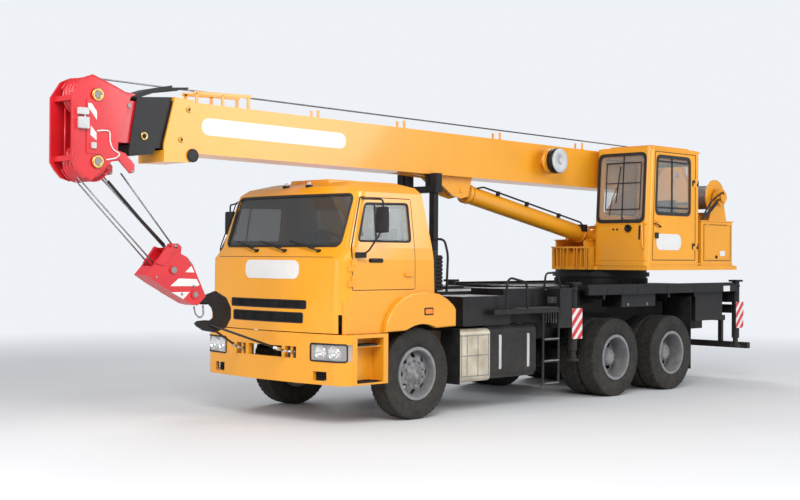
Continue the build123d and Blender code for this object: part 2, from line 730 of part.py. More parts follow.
def make_mirrors():
    """A mirror on its hoop, carried by each door."""
    base_z = 1870
    door_skin = CAB_HALF - 1.2
    housing = block((700, 770), (1240, 1400), (2080, 2360))
    housing = fillet(housing.edges(), 22)
    foot = block((860, 980), (door_skin, CAB_HALF + 50), (base_z - 60, base_z))
    lower = bent_bar([(900, CAB_HALF + 30, base_z - 30), (900, 1290, base_z + 20),
                      (735, 1330, 2120)], 30, 10)
    upper = bent_bar([(735, 1330, 2300), (735, 1330, 2440), (820, 1090, 2450)], 40, 10)
    assembly = housing + foot + lower + upper
    save("mirror_left", assembly)
    save("mirror_right", mirrored(assembly))


def seat(x, y, z, width):
    """A seat on its pedestal; x is the front edge of the cushion."""
    pedestal = block((x - 380, x - 120), (y - 140, y + 140), (z, z + 260))
    cushion = block((x - 480, x), (y - width / 2, y + width / 2), (z + 260, z + 380))
    cushion = fillet(cushion.edges(), 30)
    back = side_plate([(x - 500, z + 330), (x - 400, z + 330), (x - 470, z + 900),
                       (x - 560, z + 900)], y - width / 2, y + width / 2)
    back = fillet(back.edges(), 25)
    return pedestal + cushion + back


def make_cab_interior():
    floor = CAB_FLOOR + FLOOR_THICKNESS
    dash = side_plate([(1060, floor), (980, floor), (860, 1700), (880, 1830), (1010, 1860),
                       (1060, 1800)], -1000, 1000)
    column = rod((930, 560, 1760), (760, 560, 1960), 28)
    plane = Plane(origin=(760, 560, 1960), z_dir=(-170, 0, 200))
    wheel = plane * Torus(225, 16)
    spoke = plane * Box(60, 440, 14)
    seats = seat(520, 560, floor, 480) + seat(520, -560, floor, 480)
    save("cab_interior", dash + column + wheel + spoke + seats)


STEP_BOTTOM = 470
TOW_POCKET = (715, 840)
TOW_PIN_X = 1232
TOW_PIN_Y = 430
TOW_PIN_RADIUS = 18


def make_front():
    """Bumper with its side steps, fenders over the wheels, and the lamps."""
    outer = cab_plan(BUMPER_FRONT, BUMPER_HALF, 200, 540)
    inner = cab_plan(BUMPER_FRONT - BUMPER_WALL, BUMPER_HALF - BUMPER_WALL, 160, 500)
    bumper = extrude(Plane.XY.offset(BUMPER_BOTTOM) * (outer - inner),
                     BUMPER_TOP - BUMPER_BOTTOM)
    step_x = (610, 1000)
    bumper -= both(block(step_x, (1100, 1300), (STEP_BOTTOM, 950)))
    bumper -= both(block((950, 1400), (740, 1215), (705, 885)))
    bumper -= both(block((1000, 1400), (775, 967), (492, 590)))
    bumper -= block((1150, 1400), (-290, 290), TOW_POCKET)
    bumper -= both(block((1150, 1400), (345, 520), TOW_POCKET))
    bumper += both(block((600, 1000 - FIT), (1035, 1045), (STEP_BOTTOM - 15, 960)))
    for top in (STEP_BOTTOM, 865):
        bumper += both(block(step_x, (1040, 1190), (top - 15, top)))
    bumper += both(block((RAIL_FRONT, BUMPER_FRONT - 40), (RAIL_HALF - 40, RAIL_HALF + 40),
                         (880, 960)))
    pocket_low, pocket_high = TOW_POCKET
    bumper += both(rod((TOW_PIN_X, TOW_PIN_Y, pocket_low - 15),
                       (TOW_PIN_X, TOW_PIN_Y, pocket_high + 15), TOW_PIN_RADIUS))
    save("bumper", bumper)

    lamp = block((1000, 1250), (740, 1215), (705, 885)) & extrude(
        Plane.XY.offset(600) * cab_plan(BUMPER_FRONT - 4, BUMPER_HALF - 4, 196, 540), 400)
    save("headlamps", both(lamp))

    arch = 560
    fender = side_plate([
        (560, 1000), (548, 1100), (500, 1200), (415, 1305), (300, 1380), (150, 1428),
        (-60, 1440), (-290, 1404), (-420, 1345), (-520, 1275), (-560, 1225), (-560, 1030),
    ], CAB_HALF + FIT, BUMPER_HALF)
    outer_face = fender.faces().sort_by(Axis.Y)[-1]
    fender = fillet(outer_face.outer_wire().edges(), 22)
    fender -= disc((0, AXLE_Z), arch, CAB_HALF - 20, BUMPER_HALF + 20)
    save("fenders", both(fender))


def cab_plan(front, half, corner, rear):
    """The bumper's outline in plan."""
    edge = half - corner
    side_x = front - 70 - corner
    slant = corner * (1 - math.sqrt(0.5))
    return make_face([
        Line((rear, half), (side_x, half)),
        ThreePointArc((side_x, half), (side_x + corner - slant, half - slant),
                      (side_x + corner, edge)),
        ThreePointArc((side_x + corner, edge), (front, 0), (side_x + corner, -edge)),
        ThreePointArc((side_x + corner, -edge), (side_x + corner - slant, -half + slant),
                      (side_x, -half)),
        Line((side_x, -half), (rear, -half)),
        Line((rear, -half), (rear, half)),
    ])


# Side equipment

VALVE_FRONT = OUTRIGGER_FRONT_X + 430


def make_side_equipment():
    tank = block((-2100, -1240), (520, 1150), (370, 1010))
    tank = fillet(tank.edges().filter_by(Axis.X), 90)
    clad = block((-1235, -710), (540, 1150), (360, 980))
    clad = fillet(clad.edges().filter_by(Axis.X), 60)
    hangers = block((-2000, -1960), (450, 530), (420, 960)) + block(
        (-1400, -1360), (450, 530), (420, 960))
    save("fuel_tanks", both(tank + hangers))
    clad_hanger = block((-1000, -940), (450, 545), (420, 940))
    save("clad_box", clad + clad_hanger)
    low_box = block((-1690, -830), (SUBFRAME_HALF, 1080), (1010, 1360))
    high_box = block((VALVE_FRONT + 5, -1700), (SUBFRAME_HALF, 960), (1010, 1440))
    valve_box = block((VALVE_FRONT - 245, VALVE_FRONT), (DECK_HALF - 220, DECK_HALF - 5),
                      (940, 1440))
    valve_box += block((VALVE_FRONT - 175, VALVE_FRONT - 75), (SUBFRAME_HALF, DECK_HALF - 215),
                       (1020, 1100))
    box_y = (DECK_HALF - 400, DECK_HALF - 80)
    hanger_y = (DECK_HALF - 300, DECK_HALF - 200)
    deck_x = (MIDDLE_AXLE_X - 1070, MIDDLE_AXLE_X - 270)
    deck_box = block(deck_x, box_y, (1165, 1339))
    deck_box += block((deck_x[0] + 260, deck_x[1] - 340), hanger_y, (1338, 1400))
    tail_x = (OUTRIGGER_REAR_X + 445, REAR_AXLE_X - 780)
    tail_box = block(tail_x, box_y, (925, 1339))
    tail_box += block((tail_x[0] + 220, tail_x[1] - 210), hanger_y, (1338, 1400))
    boxes = low_box + high_box + valve_box + deck_box + tail_box
    save("side_boxes", boxes + mirrored(boxes))


def access_steps():
    """Ladder, platform and hand rails on the left side."""
    rear = VALVE_FRONT + 15
    platform = block((rear, -1690), (960, DECK_HALF), (1140, 1200))
    platform += block((-1700, -1260), (1080, DECK_HALF), (1140, 1200))
    rails = platform
    ladder_y = DECK_HALF - 15
    for x in (rear, rear + 310):
        rails += bent_bar([(x, ladder_y, 1150), (x, ladder_y, 260), (x + 40, ladder_y, 240)],
                          15, 14)
    for z in (800, 530, 250):
        rails += rod((rear, ladder_y, z), (rear + 320, ladder_y, z), 13)
    rail_y = DECK_HALF - 20
    rails += bent_bar([(-1500, rail_y, 1190), (-1510, rail_y, 1590), (-1885, rail_y, 1520),
                       (-1897, rail_y, 1190)], 90, 14)
    return rails


REST_X = -1200


def boom_rest():
    """Two posts from the frame, a cross beam and a fork that takes the boom."""
    boom_under = at_rest(REST_X - 50, BOOM_BOTTOM)[1]
    post = block((REST_X - 40, REST_X + 40), (210, 290), (SUBFRAME_TOP, 2680))
    beam = block((REST_X - 60, REST_X + 60), (-340, 340), (2620, 2700))
    pad = block((REST_X - 50, REST_X + 50), (BOOM_HALF - 70, BOOM_HALF - 10),
                (2690, boom_under - 2 * FIT))
    side = block((REST_X - 50, REST_X + 50), (BOOM_HALF + 12, 340), (2690, 2860))
    return both(post + pad + side) + beam


def make_ladder_and_rest():
    save("ladder_and_boom_rest", access_steps().solids() + boom_rest().solids())


def make_rear_guards():
    flap_x = REAR_AXLE_X - TYRE_RADIUS - 80
    flap = block((flap_x - 5, flap_x + 5), (680, 1160), (250, 1280))
    front_flap = block((-650, -640), (900, 1200), (350, 1000))
    stay = block((-690, -640), (RAIL_HALF + RAIL_WIDTH / 2, 1000), (960, 1000))
    hanger = block((flap_x + 5, flap_x + 45), (SUBFRAME_HALF, 760), (1200, 1260))
    save("mudflaps", both(flap + front_flap + stay + hanger))


# Slewing upper part

CHEEK_OUTLINE = [
    (-4320, TURNTABLE_BOTTOM), (-4290, 2070), (-4560, 2080), (-4640, 2260), (-4820, 2260),
    (-5300, 2300), (-6250, 3180), (-6560, 3290), (-6760, 3230), (-7250, 2420),
    (-7300, TURNTABLE_BOTTOM + 400), (-6900, TURNTABLE_BOTTOM),
]
WINCH_X = -7440
WINCH_Z = 2790
WINCH_SHAFT = 60


def make_turntable():
    """Base plate, two cheeks for boom and cylinder, ribbed nose and winch bed."""
    base = block((-7060, -4320), (-330, 330), (TURNTABLE_BOTTOM, TURNTABLE_BOTTOM + 40))
    base += rod((SLEW_X, 0, TURNTABLE_BOTTOM), (SLEW_X, 0, TURNTABLE_BOTTOM + 40), 700)
    cheek = side_plate(CHEEK_OUTLINE, CHEEK_INNER, CHEEK_INNER + CHEEK_THICKNESS)
    cheek += disc((PIVOT_X, PIVOT_Z), 120, CHEEK_INNER, CHEEK_INNER + 40)
    cheek += disc((FOOT_X, FOOT_Z), 95, CHEEK_INNER - 60, CHEEK_INNER + 40)
    body = base + both(cheek)
    body += block((-4420, -4395), (-330, 330), (TURNTABLE_BOTTOM, 1985))
    body += block((-4420, -4290), (-335, 335), (1960, 1985))
    for y in (60, 180, 322):
        body += both(block((-4400, -4300), (y - 8, y + 8), (TURNTABLE_BOTTOM, 1970)))
    bed = block((-7620, -6850), (-480, 480), (2380, 2410))
    bed += block((-7300, -6900), (-CHEEK_INNER, CHEEK_INNER), (2200, 2380))
    stand = side_plate([(-7700, 2400), (-7180, 2400), (-7330, 2860), (-7560, 2860)], 470, 490)
    bed += both(stand)
    floor = block((-6800, -4440), (300, 1195), (TURNTABLE_BOTTOM, OP_BOTTOM))
    body += bed + floor
    body += disc((PIVOT_X, PIVOT_Z), PIVOT_PIN_RADIUS, -CHEEK_INNER - 45, CHEEK_INNER + 45)
    body += disc((FOOT_X, FOOT_Z), FOOT_PIN_RADIUS, -CHEEK_INNER - 45, CHEEK_INNER + 45)
    body -= disc((WINCH_X, WINCH_Z), WINCH_SHAFT + FIT, -600, 600)
    tail = block((TAIL_END, -7600), (-300, 300), (2380, 2560))
    save("turntable", body + tail)


def make_winch():
    drum = disc((WINCH_X, WINCH_Z), 165, -440, 440)
    for y in (-440, 420):
        drum += disc((WINCH_X, WINCH_Z), 270, y, y + 20)
    drum += disc((WINCH_X, WINCH_Z), WINCH_SHAFT, -495, 495)
    save("winch_drum", drum)


def make_machine_box():
    box = block((-6740, -5880), (300, 1150), (OP_BOTTOM, 2370))
    save("machine_box", box)


# Operator cab

def op_section(z, inset=0):
    lean = OP_LEAN * (z - OP_BOTTOM) / (OP_TOP - OP_BOTTOM)
    x_low, x_high = OP_REAR + inset, OP_FRONT - lean - inset
    y_low, y_high = OP_RIGHT + inset, OP_LEFT - inset
    sketch = Pos((x_low + x_high) / 2, (y_low + y_high) / 2) * RectangleRounded(
        x_high - x_low, y_high - y_low, max(70 - inset, 20))
    return Plane.XY.offset(z) * sketch


def op_body(inset):
    top = OP_TOP - inset
    return loft([op_section(OP_BOTTOM + inset, inset), op_section(top, inset)], ruled=True)


OP_DOOR = [(-4560, 1800), (-4630, 3300), (-5640, 3300), (-5640, 1800)]
OP_DOOR_WINDOW = [(-4640, 2440), (-4680, 3240), (-5500, 3240), (-5500, 2440)]
OP_FRONT_WINDOW = [(345, 2330), (1115, 2330), (1115, 3270), (345, 3270)]
OP_REAR_WINDOW = [(420, 2600), (1060, 2600), (1060, 3200), (420, 3200)]


def op_side_prism(points, y, radius=70):
    plane = Plane(origin=(0, y, 0), x_dir=(1, 0, 0), z_dir=(0, -1, 0))
    return rounded_prism(points, radius, plane, 90)


def op_end_prism(points, x, radius=70):
    plane = Plane(origin=(x, 0, 0), x_dir=(0, 1, 0), z_dir=(1, 0, 0))
    return rounded_prism(points, radius, plane, 160)


def make_operator_cab():
    wall = op_body(0) - op_body(OP_WALL)
    door_cut = side_plate(OP_DOOR, OP_LEFT - 70, OP_LEFT + 50)
    front_cut = op_end_prism(OP_FRONT_WINDOW, OP_FRONT - 60)
    rear_cut = op_end_prism(OP_REAR_WINDOW, OP_REAR)
    right_cut = op_side_prism(OP_DOOR_WINDOW, OP_RIGHT)
    shell = wall - door_cut - front_cut - rear_cut - right_cut
    roof = flat_plate([(-5650, 400), (-4700, 400), (-4700, 1080), (-5650, 1080)],
                      OP_TOP, OP_TOP + 35)
    for z in OP_HINGE_HEIGHTS:
        shell += hinge(OP_HINGE_X, OP_LEFT + HINGE_RADIUS, z, 1)
    save("operator_cab_shell", shell + roof)

    pane = op_body(10) - op_body(10 + GLASS)
    panes = [pane & cut for cut in (front_cut, rear_cut, right_cut)]
    save("operator_cab_glass", Compound(children=[s for p in panes for s in p.solids()]))

    window = op_side_prism(OP_DOOR_WINDOW, OP_LEFT)
    door = wall & side_plate(shrink(OP_DOOR, DOOR_GAP), OP_LEFT - OP_WALL, OP_LEFT + 1)
    door -= window
    door += block((-4720, -4620), (OP_LEFT - 2, OP_LEFT + 22), (2330, 2350))
    for z in OP_HINGE_HEIGHTS:
        door += hinge(OP_HINGE_X, OP_LEFT + HINGE_RADIUS, z, -1)
    save("operator_door", door)
    save("operator_door_glass", pane & window)

    floor = OP_BOTTOM + OP_WALL
    chair = seat(-4960, 740, floor, 480)
    console = block((-5300, -4980), (420, 480), (floor, floor + 620))
    front_console = block((-4700, -4560), (480, 1000), (floor, floor + 400))
    levers = rod((-4640, 620, floor + 380), (-4700, 620, floor + 640), 12)
    levers += rod((-4640, 860, floor + 380), (-4700, 860, floor + 640), 12)
    save("operator_seat", chair + console + front_console + levers)


# Boom

def tilted(part):
    """Turns a piece drawn level into the boom's resting slope."""
    return part.rotate(Axis((PIVOT_X, 0, PIVOT_Z), (0, 1, 0)), -BOOM_TILT)


def tube(x_low, x_high, step):
    """A box tube; each step further in is smaller all round."""
    half = BOOM_HALF - step
    low, high = BOOM_BOTTOM + step, BOOM_TOP - step
    outer = block((x_low, x_high), (-half, half), (low, high))
    return outer - block((x_low - 1, x_high + 1), (-half + BOOM_WALL, half - BOOM_WALL),
                         (low + BOOM_WALL, high - BOOM_WALL))


def make_boom():
    base = tube(BOOM_REAR, BOOM_FRONT, 0)
    base += boom_collar(BASE_COLLAR, BOOM_HALF + 12, 0)
    base -= beyond(BASE_COLLAR)
    roller_x, roller_z = drawn_level(2440, 2860)
    base += disc((roller_x, roller_z), 68, -BOOM_HALF - 30, BOOM_HALF + 30)
    inside = BOOM_HALF - BOOM_WALL
    base -= block((roller_x - 100, roller_x + 100), (-inside, inside),
                  (BOOM_BOTTOM + BOOM_WALL, BOOM_BOTTOM + 100))
    for x, z in ((2485, 3334), (2581, 3016)):
        base += disc(drawn_level(x, z), 26, -BOOM_HALF - 24, -BOOM_HALF + 5)
        base += disc(drawn_level(x, z), 26, BOOM_HALF - 5, BOOM_HALF + 24)
    boss = disc((PIVOT_X, PIVOT_Z), 110, -BOOM_HALF - 8, BOOM_HALF + 8)
    base += boss
    lug = side_plate([(-700, BOOM_BOTTOM), (-1350, BOOM_BOTTOM - 30), (-1700, 2560),
                      (-1860, 2530), (-1990, 2560), (-2060, BOOM_BOTTOM)], 90, 115)
    base += both(lug)
    reel = disc((-3400, 3100), 165, 330, 500) + disc((-3400, 3100), 60, 210, 340)
    base += reel
    base -= disc((PIVOT_X, PIVOT_Z), PIVOT_PIN_RADIUS + FIT, -400, 400)
    base += disc(drawn_level(EYE_X, EYE_Z), EYE_PIN_RADIUS, -125, 125)
    base += wear_pads(BOOM_FRONT - 160, 0)
    save("boom_base", tilted(base))

    mid = tube(MID_REAR, MID_FRONT, TUBE_STEP) + wear_pads(MID_FRONT - 90, TUBE_STEP)
    mid += boom_collar(MID_COLLAR, BOOM_HALF - TUBE_STEP, TUBE_STEP)
    guard = side_plate([(2640, BOOM_TOP + 130), (2640, BOOM_TOP + 160), (2850, BOOM_TOP + 112),
                        (3100, BOOM_TOP + 20), (3100, BOOM_TOP - 30), (2830, BOOM_TOP + 72)],
                       -150, 150)
    save("boom_mid", tilted(mid + guard))

    save("boom_tip", tilted(tube(TIP_REAR, 3350, 2 * TUBE_STEP) + boom_head()))


def boom_collar(outline, half, step):
    """A thick band round a tube's mouth, given by its outline at rest."""
    band = side_plate([drawn_level(x, z) for x, z in outline], -half, half)
    room = BOOM_HALF - step - BOOM_WALL
    return band - block((2000, 3400), (-room, room), (BOOM_BOTTOM + step + BOOM_WALL,
                                                      BOOM_TOP - step - BOOM_WALL))


def beyond(outline):
    """All that lies forward of a collar's slanted front edge."""
    top, bottom = outline[1], outline[2]
    slope = (bottom[0] - top[0]) / (bottom[1] - top[1])
    high = (top[0] + 200 * slope, top[1] + 200)
    edge = [drawn_level(*high), drawn_level(*bottom), drawn_level(bottom[0], 2500)]
    return side_plate(edge + [(3600, 2500), (3600, edge[0][1])], -400, 400)


def boom_head():
    """Two cheeks with sheaves between them, a raised band and junction boxes."""
    cheek = side_plate([drawn_level(x, z) for x, z in HEAD_OUTLINE], 185, 215)
    cheek += side_plate([drawn_level(x, z) for x, z in ((3513, 2810), (3683, 2810),
                                                        (3683, 3340), (3513, 3340))], 214, 224)
    head = both(cheek)
    for x, z in HEAD_PINS:
        place = drawn_level(x, z)
        head += disc(place, 62, -235, 235) + disc(place, HEAD_SHEAVE, -150, 150)
    head += block((3330, 3390), (-200, 200), (BOOM_BOTTOM + 2 * TUBE_STEP, BOOM_TOP + 30))
    for low in (2640, 3230):
        head += block((3740, 3800), (-200, 200), (low, low + 50))
    for low, high, x_low in ((3050, 3155, 3677), (3185, 3245, 3683)):
        x, z = drawn_level(x_low, low)
        head += block((x, x + 100), (214, 262), (z, z + high - low))
    return head


def wear_pads(x, step):
    """Pads in a tube's mouth, under and over the next tube."""
    low = BOOM_BOTTOM + step + BOOM_WALL
    high = BOOM_TOP - step - BOOM_WALL
    depth = TUBE_STEP - BOOM_WALL - FIT
    half = BOOM_HALF - step - 60
    pads = block((x, x + 80), (-half, half), (low - 2, low + depth))
    return pads + block((x, x + 80), (-half, half), (high - depth, high + 2))


def make_luff_cylinder():
    foot, eye = Vector(FOOT_X, 0, FOOT_Z), Vector(EYE_X, 0, EYE_Z)
    along = (eye - foot).normalized()
    length = (eye - foot).length
    barrel_end = foot + along * (length - 190)
    barrel = rod(tuple(foot), tuple(barrel_end), BARREL_RADIUS)
    barrel += disc((FOOT_X, FOOT_Z), 110, -115, 115)
    gland = barrel_end - along * 80
    barrel -= rod(tuple(foot + along * 180), tuple(gland), ROD_RADIUS + RUNNING_GAP)
    barrel -= rod(tuple(gland - along * 5), tuple(barrel_end + along * 5), ROD_RADIUS + FIT)
    barrel -= disc((FOOT_X, FOOT_Z), FOOT_PIN_RADIUS + FIT, -200, 200)
    save("luff_barrel", barrel)
    ram = rod(tuple(foot + along * 200), tuple(eye - along * 30), ROD_RADIUS)
    ram += disc((EYE_X, EYE_Z), 80, -80, 80)
    ram -= disc((EYE_X, EYE_Z), EYE_PIN_RADIUS + FIT, -200, 200)
    save("luff_rod", ram)


# Hook block and its ropes

BLOCK_OUTLINE = [
    (2662, 1916), (2504, 1852), (2402, 1805), (2328, 1721), (2161, 1392), (2265, 1297),
    (2353, 1317), (2786, 1544), (2912, 1622), (2774, 1768),
]
BLOCK_LUG = [(2560, 1930), (2542, 1948), (2470, 1949), (2426, 1913), (2440, 1790), (2540, 1790)]
BLOCK_EAR = [(2662, 1916), (2560, 1876), (2700, 1720), (2800, 1740)]
BLOCK_TRUNNION = (2303, 1413)
HOOK_HALF = 36
HOOK_NECK = [(2180, 1375), (2246, 1315), (2280, 1352), (2214, 1412)]
HOOK_OUTLINE = [
    HOOK_NECK[3], HOOK_NECK[0], (2080, 1402), (1958, 1442), (1819, 1371), (1756, 1258), (1755, 1145),
    (1816, 1047), (1962, 997), (2107, 1021), (2197, 1073), (2220, 1104), (2183, 1127),
    (2093, 1133), (2017, 1128), (1971, 1158), (1975, 1215), (1995, 1263), (2035, 1301),
    (2124, 1300), HOOK_NECK[1], HOOK_NECK[2],
]


def make_hook():
    pin = Vector(HOOK_PIN_X, 0, HOOK_PIN_Z)
    sheave_x, sheave_z = HEAD_PINS[1]
    top = Vector(sheave_x, 0, sheave_z)
    up = (top - pin).normalized()
    across = Vector(up.Z, 0, -up.X)

    def point(along_up, sideways):
        place = pin + up * along_up + across * sideways
        return (place.X, place.Z)

    body = side_plate(BLOCK_OUTLINE, -110, 110)
    body -= disc((pin.X, pin.Z), HOOK_SHEAVE_ROOM, -92, 92)
    body -= side_plate([point(0, -120), point(0, 150), point(600, 150), point(600, -120)],
                       -92, 92)
    body += side_plate(BLOCK_LUG, -40, 40)
    body += both(side_plate(BLOCK_EAR, 96, 128))
    body += disc((pin.X, pin.Z), 45, -125, 125)
    body += disc((pin.X, pin.Z), HOOK_SHEAVE, -70, 70)
    body += disc(BLOCK_TRUNNION, 48, -122, 122)
    body -= side_plate(shrink(HOOK_NECK, -FIT), -HOOK_HALF - FIT, HOOK_HALF + FIT)

    hook = side_plate(HOOK_OUTLINE, -HOOK_HALF, HOOK_HALF)
    hook = chamfer(hook.faces().filter_by(Axis.Y).edges(), 16)
    save("hook_block", [body.solids()[0], hook.solids()[0]])

    lines = None
    for y in (-60, -20, 20, 60):
        start = pin + up * (HOOK_SHEAVE + FIT)
        end = top - up * (HEAD_SHEAVE + FIT)
        line = rod((start.X, y, start.Z), (end.X, y, end.Z), 8)
        lines = line if lines is None else lines + line
    save("hoist_ropes", lines)


make_wheels()
make_axles()
make_springs()
make_chassis_frame()
make_engine()
make_subframe()
make_slew_ring()
make_outriggers()
make_truck_cab()
make_mirrors()
make_cab_interior()
make_front()
make_side_equipment()
make_ladder_and_rest()
make_rear_guards()
make_turntable()
make_winch()
make_machine_box()
make_operator_cab()
make_boom()
make_luff_cylinder()
make_hook()
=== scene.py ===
"""Looks of a mobile crane on a three-axle lorry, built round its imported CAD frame.

Places are given in metres in the drawing frame of the machine: X forward from the
front axle, Y to the left and Z up from the ground. SHIFT moves them into the frame
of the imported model, whose origin lies under the middle of the machine.
"""
import math

import bmesh
import bpy
from mathutils import Matrix, Vector


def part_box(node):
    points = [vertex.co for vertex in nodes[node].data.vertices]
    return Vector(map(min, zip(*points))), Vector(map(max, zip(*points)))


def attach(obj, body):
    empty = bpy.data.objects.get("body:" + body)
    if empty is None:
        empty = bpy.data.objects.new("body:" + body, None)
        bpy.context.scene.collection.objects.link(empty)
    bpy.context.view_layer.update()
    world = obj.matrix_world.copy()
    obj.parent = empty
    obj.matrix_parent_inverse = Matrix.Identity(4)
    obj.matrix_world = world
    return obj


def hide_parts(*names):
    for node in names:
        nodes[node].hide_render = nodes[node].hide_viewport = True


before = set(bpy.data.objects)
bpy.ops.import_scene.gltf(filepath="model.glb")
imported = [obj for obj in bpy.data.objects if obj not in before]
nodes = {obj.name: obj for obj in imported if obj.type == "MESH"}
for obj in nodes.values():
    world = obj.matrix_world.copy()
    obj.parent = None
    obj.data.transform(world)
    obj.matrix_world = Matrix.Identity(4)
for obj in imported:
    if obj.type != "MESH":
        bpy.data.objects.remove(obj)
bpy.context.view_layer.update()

SHIFT = 1.9775
SIDES = (("left", 1), ("right", -1))

# Sizes shared with the CAD model
WHEELBASE = 3.69
BOGIE_SPREAD = 1.32
MIDDLE_X = -WHEELBASE
REAR_X = -WHEELBASE - BOGIE_SPREAD
AXLE_Z = 0.515
TYRE_RADIUS = 0.515
FLANGE_RADIUS = 0.299
RIM_RADIUS = 0.286
FRONT_Y = 1.02
OUTER_Y = 1.10
INNER_Y = 0.79
PIVOT = (-6.6, 3.1)
BOOM_TILT = math.radians(0.55)
FOOT_PIN = (-4.72, 2.13)
EYE_PIN = (-1.86, 2.69)
HEAD_TOP_PIN = (3.565, 3.39)
HEAD_LOW_PIN = (3.56, 2.735)
HOOK_PIN = (2.581, 1.673)
SLEW_X = -5.03
WINCH = (-7.44, 2.79)


def at(x, y, z):
    """A place of the drawing frame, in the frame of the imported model."""
    return Vector((x + SHIFT, y, z))


def on_boom(x, y, z):
    """A place on the boom drawn level, where it is with the boom at rest."""
    dx, dz = x - PIVOT[0], z - PIVOT[1]
    return at(PIVOT[0] + dx * math.cos(BOOM_TILT) - dz * math.sin(BOOM_TILT), y,
              PIVOT[1] + dx * math.sin(BOOM_TILT) + dz * math.cos(BOOM_TILT))


# Materials

NOISE_SPAN = (0.3, 0.7)
COAT_ROUGHNESS = 0.08
GRAIN_SCALE = 260
GRAIN_DEPTH = 0.0006


def fill(tree, node, values):
    """Sets a node's inputs: a socket is linked to one, any other value is stored in it."""
    for key, value in values.items():
        if isinstance(value, bpy.types.NodeSocket):
            tree.links.new(value, node.inputs[key])
        else:
            node.inputs[key].default_value = value


def add(tree, kind, values=None, **settings):
    """A new node with its settings and inputs."""
    node = tree.nodes.new(kind)
    for key, value in settings.items():
        setattr(node, key, value)
    fill(tree, node, values or {})
    return node


def shader_of(material):
    return material.node_tree.nodes["Principled BSDF"]


def new_material(name):
    material = bpy.data.materials.new(name)
    material.use_nodes = True
    return material, material.node_tree, shader_of(material)


def noise(tree, scale, detail=4):
    """Noise that stays with the object."""
    place = add(tree, "ShaderNodeTexCoord").outputs["Object"]
    values = {"Scale": scale, "Detail": detail, "Vector": place}
    return add(tree, "ShaderNodeTexNoise", values).outputs["Fac"]


def ramp(tree, value, low, high):
    """A colour that goes from low to high with a value."""
    node = add(tree, "ShaderNodeValToRGB", {"Fac": value})
    for stop, place, colour in zip(node.color_ramp.elements, NOISE_SPAN, (low, high)):
        stop.position = place
        stop.color = (*colour, 1)
    return node.outputs["Color"]


def span(tree, value, low, high, source=NOISE_SPAN, **settings):
    """A number that goes from low to high while a value crosses the source's span."""
    values = {"From Min": source[0], "From Max": source[1], "To Min": low, "To Max": high,
              "Value": value}
    return add(tree, "ShaderNodeMapRange", values, **settings).outputs["Result"]


def surface(name, low, high, rough, scale=3.0, metal=0.0, coat=0.0, grain=0.0):
    """A solid material whose colour and roughness vary softly over the surface."""
    material, tree, shader = new_material(name)
    broad = noise(tree, scale)
    fill(tree, shader, {"Base Color": ramp(tree, broad, low, high),
                        "Roughness": span(tree, broad, *rough), "Metallic": metal,
                        "Coat Weight": coat, "Coat Roughness": COAT_ROUGHNESS})
    if grain:
        relief = add(tree, "ShaderNodeBump", {"Height": noise(tree, GRAIN_SCALE),
                                              "Strength": grain, "Distance": GRAIN_DEPTH})
        fill(tree, shader, {"Normal": relief.outputs["Normal"]})
    return material


def shade(colour, factor):
    return tuple(channel * factor for channel in colour)


AMBER = (0.83, 0.345, 0.012)
AMBER_DEEP = shade(AMBER, 0.9)
BLACK = (0.007, 0.007, 0.008)
RED = (0.62, 0.012, 0.02)
WHITE = (0.72, 0.72, 0.7)

yellow = surface("yellow paint", AMBER_DEEP, AMBER, (0.3, 0.38), 1.2, coat=0.35)
black = surface("black paint", BLACK, (0.018, 0.018, 0.019), (0.42, 0.6), 5, coat=0.1)
# Near-black for door seams and boss centres: painted shade of the gaps and recesses there.
recess_shade = surface("painted recess shade", (0.006, 0.006, 0.006), (0.012, 0.012, 0.012), (0.7, 0.9), 9)
red = surface("red paint", shade(RED, 0.85), RED, (0.3, 0.4), 4, coat=0.3)
white = surface("white paint", shade(WHITE, 0.93), WHITE, (0.35, 0.45), 6, coat=0.2)
rubber = surface("tyre rubber", (0.014, 0.014, 0.0145), (0.032, 0.031, 0.03), (0.72, 0.9), 7, grain=0.4)
seal = surface("black rubber seal", (0.008, 0.008, 0.008), (0.016, 0.016, 0.016), (0.5, 0.62), 9)
rim_grey = surface("wheel paint", (0.15, 0.155, 0.165), (0.24, 0.245, 0.255), (0.45, 0.6), 9)
hub_grey = surface("hub metal", (0.19, 0.19, 0.195), (0.31, 0.31, 0.315), (0.4, 0.55), 14, metal=0.4)
steel = surface("bright steel", (0.5, 0.5, 0.51), (0.66, 0.66, 0.67), (0.2, 0.34), 18, metal=1.0)
dull_steel = surface("dull steel", (0.2, 0.2, 0.2), (0.36, 0.36, 0.36), (0.4, 0.6), 20, metal=0.8)
brass = surface("brass boss", (0.55, 0.36, 0.11), (0.74, 0.52, 0.2), (0.28, 0.42), 20, metal=1.0)
cladding = surface("silver cladding", (0.42, 0.36, 0.26), (0.66, 0.6, 0.48), (0.35, 0.6), 5, metal=0.45)
plastic = surface("black plastic", (0.012, 0.012, 0.013), (0.024, 0.024, 0.025), (0.45, 0.6), 8,
                  grain=0.3)
seat_cloth = surface("seat cloth", (0.02, 0.021, 0.025), (0.05, 0.05, 0.056), (0.85, 0.95), 40,
                     grain=0.6)
trim_grey = surface("grey trim", (0.11, 0.11, 0.115), (0.17, 0.17, 0.175), (0.6, 0.75), 12)
light_grey = surface("light grey paint", (0.42, 0.43, 0.44), (0.55, 0.56, 0.57), (0.4, 0.5), 8)
rope = surface("wire rope", (0.2, 0.2, 0.205), (0.34, 0.34, 0.35), (0.35, 0.5), 30, metal=0.6)
orange_lens = surface("orange lens", (0.75, 0.17, 0.01), (0.9, 0.25, 0.02), (0.15, 0.25), 30, coat=0.5)
red_lens = surface("red lens", (0.4, 0.01, 0.008), (0.55, 0.02, 0.012), (0.15, 0.25), 30, coat=0.5)
chrome = surface("reflector", (0.8, 0.8, 0.8), (0.9, 0.9, 0.9), (0.06, 0.12), 10, metal=1.0)
